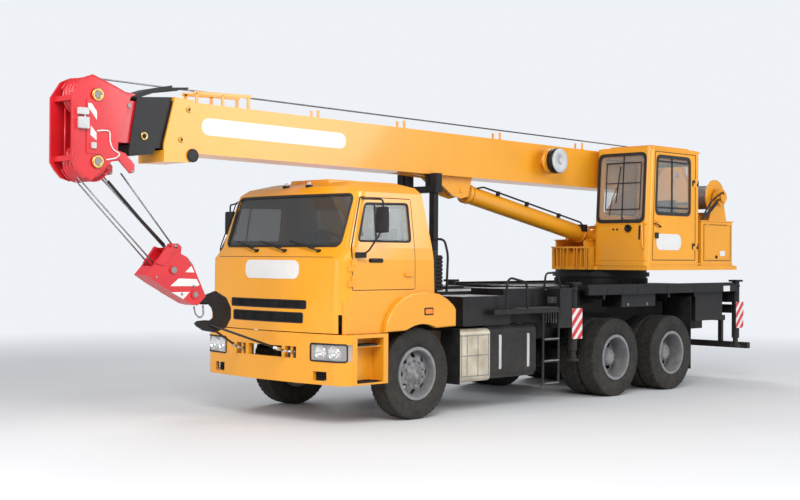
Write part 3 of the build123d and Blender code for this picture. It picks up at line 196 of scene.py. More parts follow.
mirror_glass = surface("mirror face", (0.7, 0.72, 0.74), (0.8, 0.82, 0.84), (0.03, 0.06), 10, metal=1.0)


def glass_material(name, tint, alpha):
    """Clear pane: a thin gloss layer that lets the inside show."""
    material, tree, shader = new_material(name)
    fill(tree, shader, {"Base Color": ramp(tree, noise(tree, 2.0), shade(tint, 0.9), tint),
                        "Roughness": 0.03, "Alpha": alpha, "Specular IOR Level": 0.8})
    material.surface_render_method = "BLENDED"
    return material


glass = glass_material("window glass", (0.33, 0.37, 0.36), 0.3)
screen_glass = glass_material("windscreen glass", (0.05, 0.055, 0.055), 0.62)
pale_glass = glass_material("operator cab glass", (0.5, 0.53, 0.52), 0.2)
lamp_clear = glass_material("clear lamp cover", (0.75, 0.78, 0.8), 0.35)


DUST = (0.2, 0.17, 0.13, 1)
DUST_HEIGHTS = (0.2, 1.3)


def wear(material, amount):
    """Road dust in the lower part of a material, fading out upwards."""
    tree = material.node_tree
    shader = shader_of(material)
    source = shader.inputs["Base Color"].links[0].from_socket
    place = add(tree, "ShaderNodeTexCoord").outputs["Object"]
    height = add(tree, "ShaderNodeSeparateXYZ", {0: place}).outputs["Z"]
    spots = {0: span(tree, height, amount, 0.0, DUST_HEIGHTS), 1: noise(tree, 14, 6)}
    share = add(tree, "ShaderNodeMath", spots, operation="MULTIPLY").outputs[0]
    mix = add(tree, "ShaderNodeMix", data_type="RGBA")
    fill(tree, mix, {"Factor": share, 6: source, 7: DUST})
    fill(tree, shader, {"Base Color": mix.outputs[2]})


for matt in (black, rubber, plastic):
    shader_of(matt).inputs["Specular IOR Level"].default_value = 0.2
for matt, amount in ((black, 0.25), (rubber, 0.22), (rim_grey, 0.35)):
    wear(matt, amount)


# Mesh helpers


def piece(name, bm, material, body, smooth=False, bevel=0.0, replaced=()):
    """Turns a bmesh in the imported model's frame into a piece that rides on a body."""
    bmesh.ops.recalc_face_normals(bm, faces=bm.faces)
    mesh = bpy.data.meshes.new(name)
    bm.to_mesh(mesh)
    bm.free()
    obj = bpy.data.objects.new(name, mesh)
    bpy.context.scene.collection.objects.link(obj)
    mesh.materials.append(material)
    if bevel:
        modifier = obj.modifiers.new("edge", "BEVEL")
        modifier.width = bevel
        modifier.segments = 2
        modifier.limit_method = "ANGLE"
        modifier.angle_limit = math.radians(40)
    if smooth:
        mesh.shade_smooth()
    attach(obj, body)
    if replaced:
        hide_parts(*replaced)
    return obj


def add_box(bm, low, high):
    """A box between two corners of the drawing frame."""
    low, high = at(*low), at(*high)
    matrix = Matrix.Translation((high + low) / 2) @ Matrix.Diagonal((*(high - low), 1))
    bmesh.ops.create_cube(bm, size=1, matrix=matrix)


def add_bars(bm, low, high, step, count):
    """Equal boxes in a row, each one step further on than the last."""
    for k in range(count):
        add_box(bm, Vector(low) + Vector(step) * k, Vector(high) + Vector(step) * k)


def frame_along(direction):
    """A rotation whose Z axis points along a direction."""
    return Vector(direction).normalized().to_track_quat("Z", "Y").to_matrix().to_4x4()


def add_rod(bm, start, end, radius, sides=20, end_radius=None, shifted=True):
    """A round bar or cone between two places."""
    if shifted:
        start, end = at(*start), at(*end)
    along = end - start
    matrix = Matrix.Translation((start + end) / 2) @ frame_along(along)
    bmesh.ops.create_cone(
        bm, cap_ends=True, segments=sides, radius1=radius,
        radius2=radius if end_radius is None else end_radius, depth=along.length, matrix=matrix)


def circle(count, radius, turn=0.0):
    """Places spaced evenly on a circle, from a share of a step onwards."""
    angles = [math.tau * (k + turn) / count for k in range(count)]
    return [(radius * math.cos(angle), radius * math.sin(angle)) for angle in angles]


def skin(bm, rings, closed=True):
    """Smooth faces between one ring of corners and the next."""
    for here, after in zip(rings, rings[1:] + (rings[:1] if closed else [])):
        for corners in zip(here, here[1:] + here[:1], after[1:] + after[:1], after):
            bm.faces.new(corners).smooth = True


def add_ring(bm, centre, axis, profile, sides=48):
    """A solid of revolution from a closed list of (along the axis, radius) points."""
    turn = Matrix.Translation(at(*centre)) @ frame_along(axis)
    skin(bm, [[bm.verts.new(turn @ Vector((r * a, r * b, along))) for along, r in profile]
              for a, b in circle(sides, 1)])


def close_plate(bm, near, far):
    """Faces of a plate between two outlines of places."""
    near = [bm.verts.new(place) for place in near]
    far = [bm.verts.new(place) for place in far]
    bm.faces.new(near)
    bm.faces.new(far)
    for corners in zip(near, near[1:] + near[:1], far[1:] + far[:1], far):
        bm.faces.new(corners)


def add_prism(bm, outline, low, high, axis="y"):
    """A plate: an outline of points in the plane across an axis, from low to high."""
    def spot(a, b, level):
        return at(a, level, b) if axis == "y" else at(level, a, b)
    close_plate(bm, [spot(a, b, low) for a, b in outline], [spot(a, b, high) for a, b in outline])


def bend(before, here, after, radius, steps):
    """Points of the rounded corner between two straight runs."""
    first, second = before - here, after - here
    reach = min(radius, first.length * 0.45, second.length * 0.45)
    start, end = here + first.normalized() * reach, here + second.normalized() * reach
    shares = [k / steps for k in range(steps + 1)]
    return [start * (1 - t) ** 2 + here * 2 * t * (1 - t) + end * t ** 2 for t in shares]


def smooth_path(points, radius, steps=5):
    """Straight runs with rounded corners, as a list of places."""
    points = [Vector(p) for p in points]
    bends = [bend(*corner, radius, steps) for corner in zip(points, points[1:], points[2:])]
    return [points[0], *(place for part in bends for place in part), points[-1]]


def round_outline(points, radius, steps=4):
    """A closed outline with its corners rounded."""
    points = [Vector(p) for p in points]
    corners = zip(points[-1:] + points[:-1], points, points[1:] + points[:1])
    return [tuple(spot) for corner in corners for spot in bend(*corner, radius, steps)]


def add_tube(bm, path, radius, sides=10, closed=False):
    """A round tube along a list of places, with closed ends."""
    path = [Vector(p) for p in path]
    before, after = (path[-1:], path[:1]) if closed else (path[:1], path[-1:])
    rings = []
    normal = None
    for last, place, following in zip(before + path[:-1], path, path[1:] + after):
        tangent = (following - last).normalized()
        if normal is None:
            helper = Vector((0, 0, 1)) if abs(tangent.z) < 0.9 else Vector((1, 0, 0))
            normal = tangent.cross(helper).normalized()
        else:
            normal = (normal - tangent * normal.dot(tangent)).normalized()
        side = tangent.cross(normal)
        rings.append([bm.verts.new(place + normal * a + side * b) for a, b in circle(sides, radius)])
    skin(bm, rings, closed)
    if not closed:
        bm.faces.new(rings[0])
        bm.faces.new(rings[-1])


def tube_path(points, radius=0.05, steps=5):
    """Rounded runs between places of the drawing frame."""
    return smooth_path([at(*p) for p in points], radius, steps)


def arc(x, z, radius, start, end, steps=16):
    """Points of a circle's arc between two angles in degrees."""
    angles = [math.radians(start + (end - start) * k / steps) for k in range(steps + 1)]
    return [(x + radius * math.cos(angle), z + radius * math.sin(angle)) for angle in angles]


def rounded(x0, x1, z0, z1, radius, steps=5):
    """A rectangle's outline with rounded corners."""
    corners = ((x1 - radius, z1 - radius, 0), (x0 + radius, z1 - radius, 90),
               (x0 + radius, z0 + radius, 180), (x1 - radius, z0 + radius, 270))
    return [spot for x, z, start in corners for spot in arc(x, z, radius, start, start + 90, steps)]


def paint_nodes(material, *names):
    for name in names:
        mesh = nodes[name].data
        mesh.materials.clear()
        mesh.materials.append(material)
        mesh.polygons.foreach_set("material_index", [0] * len(mesh.polygons))


def soften(obj, degrees):
    """Rounds the shading of an object and keeps its sharp edges."""
    obj.data.shade_smooth()
    obj.data.set_sharp_from_angle(angle=math.radians(degrees))


for node in nodes.values():
    soften(node, 32)


# Base paint of the CAD nodes

paint_nodes(yellow, "cab_shell", "door_left", "door_right", "bumper", "fenders", "turntable",
            "machine_box", "operator_cab_shell", "operator_door", "boom_base", "luff_barrel")
paint_nodes(black, "chassis_frame", "subframe", "slew_ring", "springs", "axles", "side_boxes",
            "fuel_tanks", "ladder_and_boom_rest", "knuckle_left", "knuckle_right", "boom_mid")
paint_nodes(trim_grey, "engine_block")
paint_nodes(red, "boom_tip", "hook_block")
paint_nodes(steel, "luff_rod")
paint_nodes(dull_steel, "winch_drum")
paint_nodes(cladding, "clad_box")
paint_nodes(plastic, "mirror_left", "mirror_right", "mudflaps")
paint_nodes(seat_cloth, "cab_interior", "operator_seat")
paint_nodes(screen_glass, "cab_glass")
paint_nodes(glass, "door_glass_left", "door_glass_right")
paint_nodes(pale_glass, "operator_cab_glass", "operator_door_glass")
paint_nodes(lamp_clear, "headlamps")
paint_nodes(rope, "hoist_ropes")
for side, _ in SIDES:
    paint_nodes(rim_grey, f"front_rim_{side}", f"middle_rims_{side}", f"rear_rims_{side}")
    for end in ("front", "rear"):
        paint_nodes(black, f"outrigger_beam_{end}_{side}", f"jack_{end}_{side}")


# Tyres and wheels

TREAD_STEPS = 240
GROOVE_DEPTH = 0.011
TREAD_WAVE = 0.002
SIDEWALL = [(0.112, RIM_RADIUS), (0.112, FLANGE_RADIUS + 0.001), (0.119, 0.309), (0.127, 0.322),
            (0.134, 0.345), (0.1385, 0.375), (0.14, 0.4), (0.139, 0.425), (0.1375, 0.428),
            (0.1375, 0.434), (0.1355, 0.437), (0.1325, 0.468), (0.129, 0.484)]
RIB_EDGES = (0.116, 0.072, 0.062, 0.027, 0.017)


def tread_profile():
    """Half of the tread: (across, groove or not), from shoulder to middle."""
    shoulder, first, second, third, fourth = RIB_EDGES
    return [(shoulder, 0), (first, 0), (first - 0.001, 1), (second + 0.001, 1), (second, 0),
            (third, 0), (third - 0.001, 1), (fourth + 0.001, 1), (fourth, 0)]


def tread_radius(kind, across, value, step, driven):
    """Radius of a tyre at a place of its profile and a step round it."""
    period = 6 if driven else 5
    if kind == "wall":
        return value - (GROOVE_DEPTH * 0.8 if value > 0.466 and step % period == 0 else 0)
    crown = TYRE_RADIUS - 0.0045 * (abs(across) / 0.116) ** 3 - 0.0005
    shoulder = abs(across) >= RIB_EDGES[1]
    turned = step if shoulder else step + (2 if across > 0 else 4)
    lug = value == 0 and (shoulder or driven) and turned % period == 0
    return crown - GROOVE_DEPTH * (0.85 if lug else value)


def add_tyre(bm, x, y, driven):
    """A tyre with ribs, shoulder lugs and, on driven wheels, cross grooves."""
    half = [("wall", a, r) for a, r in SIDEWALL] + [("tread", a, g) for a, g in tread_profile()]
    full = half + [(kind, -a, v) for kind, a, v in reversed(half)]
    rings = []
    for step, (dx, dz) in enumerate(circle(TREAD_STEPS, 1)):
        ring = []
        for kind, across, value in full:
            radius = tread_radius(kind, across, value, step, driven)
            wave = 0.0
            if kind == "tread" and abs(across) < 0.1:
                wave = TREAD_WAVE if step % 4 < 2 else -TREAD_WAVE
            ring.append(bm.verts.new(at(x + radius * dx, y + across + wave, AXLE_Z + radius * dz)))
        rings.append(ring)
    skin(bm, rings)


def make_tyres():
    """Tyres with tread in place of the plain ones; twin tyres make one piece."""
    for side, sign in SIDES:
        for end, x, places in (("front", 0, (FRONT_Y,)), ("middle", MIDDLE_X, (OUTER_Y, INNER_Y)),
                               ("rear", REAR_X, (OUTER_Y, INNER_Y))):
            driven = end != "front"
            bm = bmesh.new()
            for y in places:
                add_tyre(bm, x, sign * y, driven)
            name = f"treads_{end}_{side}" if driven else f"tread_{end}_{side}"
            worn = f"{end}_tyres_{side}" if driven else f"{end}_tyre_{side}"
            soften(piece(name, bm, rubber, f"wheel_{end}_{side[0]}", replaced=[worn]), 34)


def add_nuts(bm, x, y_face, sign):
    """A circle of wheel nuts with their stud ends."""
    for dx, dz in circle(10, 0.142, 0.5):
        for depth, size, sides in ((0.018, 0.016, 6), (0.03, 0.016 * 0.55, 10)):
            add_rod(bm, (x + dx, sign * y_face, AXLE_Z + dz),
                    (x + dx, sign * (y_face + depth), AXLE_Z + dz), size, sides)


# X and middle of each wheel; from there outwards the nuts' face and both ends of the hub's
# bolts; then the circle and the radius of the bolts
TWIN_Y = (OUTER_Y + INNER_Y) / 2
HUBS = {"front": (0, FRONT_Y, 0.074, 0.094, 0.115, 0.098, 0.008),
        "middle": (MIDDLE_X, TWIN_Y, 0.012, 0.183, 0.195, 0.075, 0.009),
        "rear": (REAR_X, TWIN_Y, 0.012, 0.183, 0.195, 0.075, 0.009)}
CAP_Y = FRONT_Y + 0.124


def make_wheel_details():
    """Wheel nuts, hub bolts and the front hubs' caps."""
    for side, sign in SIDES:
        for end, (x, y, face, low, high, bolt_circle, bolt_radius) in HUBS.items():
            bm = bmesh.new()
            add_nuts(bm, x, y + face, sign)
            if end == "front":
                add_ring(bm, (0, 0, AXLE_Z), (0, 1, 0),
                         [(sign * (CAP_Y - 0.001), 0.0), (sign * (CAP_Y - 0.001), 0.062),
                          (sign * (CAP_Y + 0.006), 0.06), (sign * (CAP_Y + 0.008), 0.0)], 32)
            for dx, dz in circle(8, bolt_circle):
                add_rod(bm, (x + dx, sign * (y + low), AXLE_Z + dz),
                        (x + dx, sign * (y + high), AXLE_Z + dz), bolt_radius, 6)
            piece(f"hub_nuts_{end}_{side}", bm, hub_grey, f"wheel_{end}_{side[0]}")


make_tyres()
make_wheel_details()


# Truck cab

# Height, front X on the centre line, half width and corner radius, as in the CAD model
CAB_LEVELS = ((1.0, 1.27, 1.16, 0.17), (1.79, 1.255, 1.16, 0.16), (1.92, 1.13, 1.15, 0.12),
              (2.53, 0.925, 1.07, 0.1), (2.6, 0.84, 1.0, 0.1), (2.662, 0.64, 0.78, 0.1))
CAB_BULGE = 0.09


def cab_level(z):
    """Front X, half width and corner radius of the cab at a height."""
    for low, high in zip(CAB_LEVELS, CAB_LEVELS[1:]):
        if z <= high[0]:
            share = max(0.0, (z - low[0]) / (high[0] - low[0]))
            return [a + (b - a) * share for a, b in zip(low[1:], high[1:])]
    return list(CAB_LEVELS[-1][1:])


def bowed(y, front, half, corner, bulge):
    """X of a bowed front with round corners, at a place across."""
    edge = half - corner
    radius = (edge ** 2 + bulge ** 2) / (2 * bulge)
    sag = radius - math.sqrt(radius ** 2 - min(abs(y), edge) ** 2)
    past = max(0.0, abs(y) - edge)
    return front - sag - corner + math.sqrt(max(0.0, corner ** 2 - past ** 2))


def cab_front(y, z, out=0.0):
    """X of the cab's front at a place, moved outwards a little."""
    return bowed(y, *cab_level(z), CAB_BULGE) + out


def cab_side(z, out=0.0):
    """Y of the cab's side at a height."""
    return cab_level(z)[1] + out


PLATE_CORNER = 0.08


def add_front_strips(bm, low, high, bottom, top, out, depth, columns):
    """A round-cornered plate on the cab's front in upright strips that follow its bow."""
    middle, half = (bottom + top) / 2, (top - bottom) / 2
    rows = []
    for k in range(columns + 1):
        y = low + (high - low) * (1 - math.cos(math.pi * k / columns)) / 2
        inset = max(0.0, PLATE_CORNER - min(y - low, high - y))
        reach = half - PLATE_CORNER + math.sqrt(max(0.0, PLATE_CORNER ** 2 - inset ** 2))
        rows.append([[bm.verts.new(at(cab_front(y, z, lift), y, z))
                      for z in (middle - reach, middle + reach)] for lift in (out, out - depth)])
    for here, after in zip(rows, rows[1:]):
        for layer in (0, 1):
            bm.faces.new((here[layer][0], here[layer][1], after[layer][1], after[layer][0]))
        for edge in (0, 1):
            bm.faces.new((here[0][edge], here[1][edge], after[1][edge], after[0][edge]))
    for end in (rows[0], rows[-1]):
        bm.faces.new((end[0][0], end[0][1], end[1][1], end[1][0]))


def dense(points, step=0.06, closed=True):
    """More points along straight runs, so that a bar follows a curved surface."""
    result = []
    count = len(points)
    for k in range(count if closed else count - 1):
        a, b = points[k], points[(k + 1) % count]
        length = math.dist(a, b)
        pieces = max(1, int(length / step))
        for j in range(pieces):
            result.append(tuple(u + (v - u) * j / pieces for u, v in zip(a, b)))
    if not closed:
        result.append(points[-1])
    return result


BAR_SIDES = 8


def front_bar(bm, outline, out, radius, closed=True):
    """A bead along an outline of (y, z) points on the cab's front."""
    path = [at(cab_front(y, z, out), y, z) for y, z in dense(outline, closed=closed)]
    add_tube(bm, path, radius, BAR_SIDES, closed)


def side_bar(bm, outline, out, radius, sign, closed=True):
    """A bead along an outline of (x, z) points on the cab's side."""
    path = [at(x, sign * cab_side(z, out), z) for x, z in dense(outline, closed=closed)]
    add_tube(bm, path, radius, BAR_SIDES, closed)


WINDSCREEN = rounded(-0.985, 0.985, 1.935, 2.5, 0.07)
DOOR_WINDOW = [(0.915, 1.99), (0.772, 2.4), (0.115, 2.415), (0.115, 1.99)]
DOOR_OUTLINE = [(1.02, 1.46), (1.02, 1.93), (0.835, 2.47), (0.06, 2.47), (0.06, 1.46)]
GRILLE_STEP = 0.024
GRILLE_SLOTS = ((1.258, 1.338, 0.645), (1.104, 1.203, 0.6))


def make_cab_trim():
    """Seals of the windows and seams of the doors."""
    bm = bmesh.new()
    front_bar(bm, WINDSCREEN, -0.004, 0.016)
    front_bar(bm, [(-0.99, 1.815), (0.99, 1.815)], -0.001, 0.004, closed=False)
    piece("windscreen_seal", bm, seal, "chassis", smooth=True)
    for side, sign in SIDES:
        bm = bmesh.new()
        side_bar(bm, round_outline(DOOR_WINDOW, 0.045), -0.004, 0.013, sign)
        piece(f"door_window_seal_{side}", bm, seal, f"cab_door_{side[0]}", smooth=True)
        # The door seam is a dark bead: painted shade of the gap round the door.
        bm = bmesh.new()
        side_bar(bm, round_outline(DOOR_OUTLINE, 0.03), -0.006, 0.007, sign)
        piece(f"door_seam_{side}", bm, recess_shade, "chassis", smooth=True)


def make_grille():
    bm = bmesh.new()
    for low, high, half in GRILLE_SLOTS:
        middle = (low + high) / 2
        line = dense([(-half - 0.02, middle), (half + 0.02, middle)], 0.08, closed=False)
        rows = [[bm.verts.new(at(cab_front(y, middle, -0.012), y, z)) for y, _ in line]
                for z in (low, high)]
        for corners in zip(rows[0], rows[0][1:], rows[1][1:], rows[1]):
            bm.faces.new(corners)
        for k in range(int(2 * half / GRILLE_STEP)):
            y = -half + GRILLE_STEP * (k + 0.5)
            x = cab_front(y, middle, -0.004)
            add_box(bm, (x - 0.01, y - 0.002, low), (x, y + 0.002, high))
    piece("grille_mesh", bm, plastic, "chassis")
    bm = bmesh.new()
    for low, high, half in GRILLE_SLOTS:
        outline = rounded(-half - 0.004, half + 0.004, low - 0.004, high + 0.004, 0.02)
        front_bar(bm, outline, -0.004, 0.008)
    piece("grille_frames", bm, seal, "chassis", smooth=True)


def make_wipers():
    bm = bmesh.new()
    for pivot_y, tip_y in ((-0.26, -0.74), (0.23, -0.25), (0.75, 0.26)):
        base = at(cab_front(pivot_y, 1.885, 0.03), pivot_y, 1.885)
        tip = at(cab_front(tip_y, 1.99, 0.03), tip_y, 1.99)
        add_rod(bm, base - Vector((0.03, 0, 0)), base + Vector((0.012, 0, 0)), 0.017, 12, shifted=False)
        middle = base.lerp(tip, 0.55) + Vector((0.014, 0, 0.006))
        add_tube(bm, [base, base.lerp(middle, 0.5) + Vector((0.006, 0, 0)), middle], 0.0075, 8)
        start = base.lerp(tip, 0.12) + Vector((0.004, 0, 0.02))
        add_tube(bm, [start, start.lerp(tip, 0.5) + Vector((0.004, 0, 0)), tip], 0.008, 8)
        add_tube(bm, [middle, start.lerp(tip, 0.5)], 0.006, 8)
    piece("wipers", bm, plastic, "chassis", smooth=True)


def make_front_plate():
    """The blank rounded plate that sits above the grille."""
    bm = bmesh.new()
    add_front_strips(bm, -0.37, 0.535, 1.575, 1.78, 0.007, 0.012, 24)
    piece("cab_front_plate", bm, white, "chassis")


make_cab_trim()
make_grille()
make_wipers()
make_front_plate()


def add_side_plate(bm, outline, sign, out, depth):
    """A plate that follows the cab's side, with an outline of (x, z) points."""
    close_plate(bm, [at(x, sign * cab_side(z, out), z) for x, z in outline],
                [at(x, sign * cab_side(z, out - depth), z) for x, z in outline])


def make_roof_lamps():
    bm = bmesh.new()
    base = bmesh.new()
    for x, y, z in ((0.72, 0.93, 2.56), (0.72, -0.93, 2.56), (0.8, 0.2, 2.626), (0.8, -0.2, 2.626)):
        add_rod(bm, (x, y, z), (x, y, z + 0.038), 0.035, 16, 0.018)
        add_rod(base, (x, y, z - 0.03), (x, y, z + 0.004), 0.042, 16)
    piece("roof_marker_lenses", bm, lamp_clear, "chassis", smooth=True)
    piece("roof_marker_bases", base, plastic, "chassis", smooth=True)


def make_door_fittings():
    """Door handles, mirror pivots and faces, and the bars of the quarter lights."""
    for side, sign in SIDES:
        body = f"cab_door_{side[0]}"
        bm = bmesh.new()
        add_side_plate(bm, rounded(0.56, 0.78, 1.758, 1.806, 0.02), sign, 0.004, 0.006)
        add_box(bm, (0.58, sign * 1.162, 1.77), (0.76, sign * 1.184, 1.794))
        piece(f"door_handle_{side}", bm, plastic, body, bevel=0.004)
        bm = bmesh.new()
        x = 0.9 if sign > 0 else 0.905
        add_rod(bm, (x, sign * 1.185, 1.83), (x, sign * 1.215, 1.83), 0.02, 14)
        piece(f"mirror_pivot_{side}", bm, plastic, body, smooth=True)
        bm = bmesh.new()
        add_prism(bm, rounded(sign * 1.32 - 0.066, sign * 1.32 + 0.066, 2.1, 2.34, 0.02), 0.694,
                  0.7, axis="x")
        piece(f"mirror_face_{side}", bm, mirror_glass, body)
        bm = bmesh.new()
        side_bar(bm, [(0.64, 1.985), (0.62, 2.405)], -0.008, 0.008, sign, closed=False)
        piece(f"quarter_light_bar_{side}", bm, seal, body, smooth=True)


def make_headlamp(side, sign):
    bm = bmesh.new()
    for y in (0.85, 1.04):
        x = bumper_front(y) - 0.07
        add_ring(bm, (x, sign * y, 0.795), (1, 0, 0),
                 [(0.0, 0.0), (0.004, 0.03), (0.022, 0.058), (0.05, 0.072), (0.05, 0.078),
                  (0.0, 0.078), (-0.01, 0.03), (-0.01, 0.0)], 28)
        add_rod(bm, (x - 0.005, sign * y, 0.795), (x + 0.03, sign * y, 0.795), 0.016, 12)
    piece(f"headlamp_reflectors_{side}", bm, chrome, "chassis")
    bm = bmesh.new()
    edge = dense(rounded(0.738, 1.19, 0.703, 0.887, 0.02), 0.04)
    path = [at(bumper_front(y) + 0.002, sign * y, z) for y, z in edge]
    add_tube(bm, path, 0.009, 8, closed=True)
    piece(f"headlamp_bezel_{side}", bm, plastic, "chassis", smooth=True)


def make_bumper_grille(side, sign):
    bm = bmesh.new()
    x = bumper_front(0.88)
    add_box(bm, (x - 0.12, sign * 0.776, 0.493), (x - 0.075, sign * 0.966, 0.589))
    for z in (0.515, 0.541, 0.567):
        add_box(bm, (x - 0.08, sign * 0.778, z - 0.003), (x - 0.035, sign * 0.964, z + 0.003))
    piece(f"bumper_grille_{side}", bm, plastic, "chassis")


def make_side_marker(side, sign):
    bm = bmesh.new()
    add_prism(bm, rounded(-0.155, -0.04, 1.185, 1.24, 0.01), sign * 1.222, sign * 1.236)
    piece(f"side_marker_{side}", bm, orange_lens, "chassis", bevel=0.003)
    bm = bmesh.new()
    add_prism(bm, rounded(-0.17, -0.025, 1.17, 1.255, 0.012), sign * 1.218, sign * 1.228)
    piece(f"side_marker_base_{side}", bm, plastic, "chassis")


# Front X on the centre line, half width, corner radius and bulge, as in the CAD model
BUMPER = (1.27, 1.225, 0.2, 0.07)


def bumper_front(y):
    """X of the bumper's bowed front at a place across."""
    return bowed(y, *BUMPER)


def make_steps(side, sign):
    """Black gratings on the two steps and the yellow walls round them."""
    bm = bmesh.new()
    for top in (0.491, 0.886):
        add_box(bm, (0.68, sign * 1.07, top - 0.02), (0.96, sign * 1.212, top - 0.006))
        add_bars(bm, (0.694, sign * 1.075, top - 0.008), (0.706, sign * 1.21, top), (0.039, 0, 0), 7)
    piece(f"step_treads_{side}", bm, plastic, "chassis")
    bm = bmesh.new()
    wall = ((1.13, 1.335), (1.13, 0.993), (0.5, 0.993), (0.5, 1.335))
    add_prism(bm, wall, sign * 1.12, sign * 1.1555)
    add_box(bm, (0.588, sign * 1.12 - 0.085, 0.48), (0.606, sign * 1.12 + 0.085, 0.955))
    add_box(bm, (0.6, sign * 1.11 - 0.08, 0.952), (1.01, sign * 1.11 + 0.08, 0.99))
    piece(f"cab_side_fairing_{side}", bm, yellow, "chassis", bevel=0.004)


def make_snorkel():
    """Air intake and pipes that stand behind the cab."""
    bm = bmesh.new()
    add_box(bm, (-0.43, 0.86, 1.42), (-0.27, 1.06, 1.9))
    piece("air_intake_box", bm, plastic, "chassis", bevel=0.03)
    bm = bmesh.new()
    for k in range(9):
        z = 1.44 + k * 0.045
        add_rod(bm, (-0.44, 1.0, z), (-0.44, 1.0, z + 0.03), 0.085, 20)
        add_rod(bm, (-0.44, 1.0, z + 0.03), (-0.44, 1.0, z + 0.045), 0.075, 20)
    add_tube(bm, tube_path([(-0.4, 1.0, 1.9), (-0.4, 1.0, 2.03), (-0.46, 1.12, 2.03),
                            (-0.5, 1.14, 1.85), (-0.5, 1.12, 1.42)], 0.06), 0.014, 10)
    add_rod(bm, (-0.6, -0.6, 1.36), (-0.6, -0.6, 2.3), 0.06, 20)
    add_rod(bm, (-0.6, -0.6, 2.3), (-0.6, -0.72, 2.42), 0.06, 20)
    piece("intake_and_pipes", bm, plastic, "chassis", smooth=True)


make_roof_lamps()
make_door_fittings()
for side, sign in SIDES:
    make_headlamp(side, sign)
    make_bumper_grille(side, sign)
    make_side_marker(side, sign)
for side, sign in SIDES:
    make_steps(side, sign)
make_snorkel()


# Boom and its red head

HEAD_BAND_Y = 0.224
ROPE_LEVEL_Z = 3.475
ROPE_Y = 0.06
ROPE_RADIUS = 0.009
HEAD_STRIPES = (((3.668, 3.3), (3.63, 3.3), (3.571, 3.223), (3.571, 3.142), (3.668, 3.262)),
                ((3.637, 3.082), (3.575, 3.015), (3.574, 2.943), (3.642, 2.992)))
HEAD_BOXES = ((3.05, 3.155, 3.677), (3.185, 3.245, 3.683))


def both_sides(bm, outline, low, high):
    """The same plate on both sides of the machine."""
    for _, sign in SIDES:
        add_prism(bm, outline, sign * low, sign * high)


def both_rods(bm, x, z, low, high, radius, sides=24):
    """The same pin across both sides of the machine."""
    for _, sign in SIDES:
        add_rod(bm, (x, sign * low, z), (x, sign * high, z), radius, sides)


def both_rings(bm, x, z, profile, sides):
    """The same solid of revolution across both sides of the machine."""
    for _, sign in SIDES:
        add_ring(bm, (x, 0, z), (0, 1, 0), [(sign * y, radius) for y, radius in profile], sides)


def sheave(bm, x, y, z, radius):
    """A rope sheave with a groove round its rim."""
    half = [(0.02, 0.06), (0.01, radius - 0.05), (0.02, radius - 0.03), (0.02, radius), (0.012, radius)]
    far = [(-across, reach) for across, reach in half]
    add_ring(bm, (x, y, z), (0, 1, 0), far + [(0, radius - 0.022)] + half[::-1], 56)


def ringed_boss(bm, x, z, y, radius):
    """A metal ring on a pin's end, on both sides; its centre stays recessed."""
    both_rings(bm, x, z, [(y - 0.012, radius * 0.5), (y - 0.012, radius), (y, radius),
                          (y + 0.004, radius * 0.9), (y + 0.002, radius * 0.62),
                          (y - 0.006, radius * 0.5)], 36)


def make_head_marks():
    """Stripes, pin rings and small pins of the red head."""
    bm = bmesh.new()
    for outline in HEAD_STRIPES:
        both_sides(bm, outline, HEAD_BAND_Y - 0.001, HEAD_BAND_Y + 0.0015)
    piece("head_stripes", bm, white, "boom_end")
    bm = bmesh.new()
    for x, z in (HEAD_TOP_PIN, HEAD_LOW_PIN):
        ringed_boss(bm, x, z, 0.238, 0.064)
    piece("head_pin_rings", bm, brass, "boom_end")
    bm = bmesh.new()
    both_rods(bm, 3.2, 3.316, 0.18, 0.226, 0.022)
    both_rods(bm, 3.15, 2.66, 0.18, 0.22, 0.016)
    for x, z in (HEAD_TOP_PIN, HEAD_LOW_PIN):
        both_rods(bm, x, z, 0.234, 0.2375, 0.034, 24)
    piece("head_small_pins", bm, dull_steel, "boom_end", bevel=0.003)


def make_head_sheaves():
    """Rope sheaves with the guards that keep their ropes in."""
    bm = bmesh.new()
    for x, z in (HEAD_TOP_PIN, HEAD_LOW_PIN):
        for y in (-0.09, -0.03, 0.03, 0.09):
            sheave(bm, x, y, z, 0.19)
    piece("head_sheaves", bm, red, "boom_end")
    bm = bmesh.new()
    for y in (-0.14, 0.14):
        for start, end, pin in ((-160, -20, HEAD_LOW_PIN), (20, 95, HEAD_TOP_PIN)):
            path = [at(x, y, z) for x, z in arc(*pin, 0.187, start, end)]
            add_tube(bm, path, 0.009, 8)
    for y in (-0.02, 0.13):
        add_rod(bm, (3.775, y, 2.69), (3.775, y, 3.26), 0.008, 10)
    piece("head_rope_guards", bm, red, "boom_end", smooth=True)


def make_head_boxes():
    """Covers of the junction boxes and the cable between them."""
    bm = bmesh.new()
    screws = bmesh.new()
    for low, high, x in HEAD_BOXES:
        add_prism(bm, rounded(x - 0.003, x + 0.103, low - 0.003, high + 0.003, 0.01), 0.2155, 0.266)
        for sx in (x + 0.01, x + 0.09):
            for sz in (low + 0.01, high - 0.01):
                add_rod(screws, (sx, 0.265, sz), (sx, 0.268, sz), 0.005, 10)
    add_prism(bm, rounded(3.585, 3.635, 2.86, 2.92, 0.01), 0.223, 0.25)
    piece("head_junction_covers", bm, light_grey, "boom_end", bevel=0.003)
    piece("head_junction_screws", screws, steel, "boom_end")
    bm = bmesh.new()
    path = [(3.574, 0.231, 3.034), (3.5, 0.229, 3.046), (3.418, 0.222, 3.045), (3.423, 0.222, 2.947),
            (3.387, 0.222, 2.864), (3.298, 0.222, 2.827), (3.347, 0.222, 2.781), (3.465, 0.222, 2.758)]
    add_tube(bm, tube_path(path, 0.05), 0.007, 10)
    add_tube(bm, tube_path([(3.72, 0.24, 3.18), (3.71, 0.25, 3.165), (3.715, 0.24, 3.15)], 0.01),
             0.006, 8)
    piece("head_cable", bm, white, "boom_end", smooth=True)


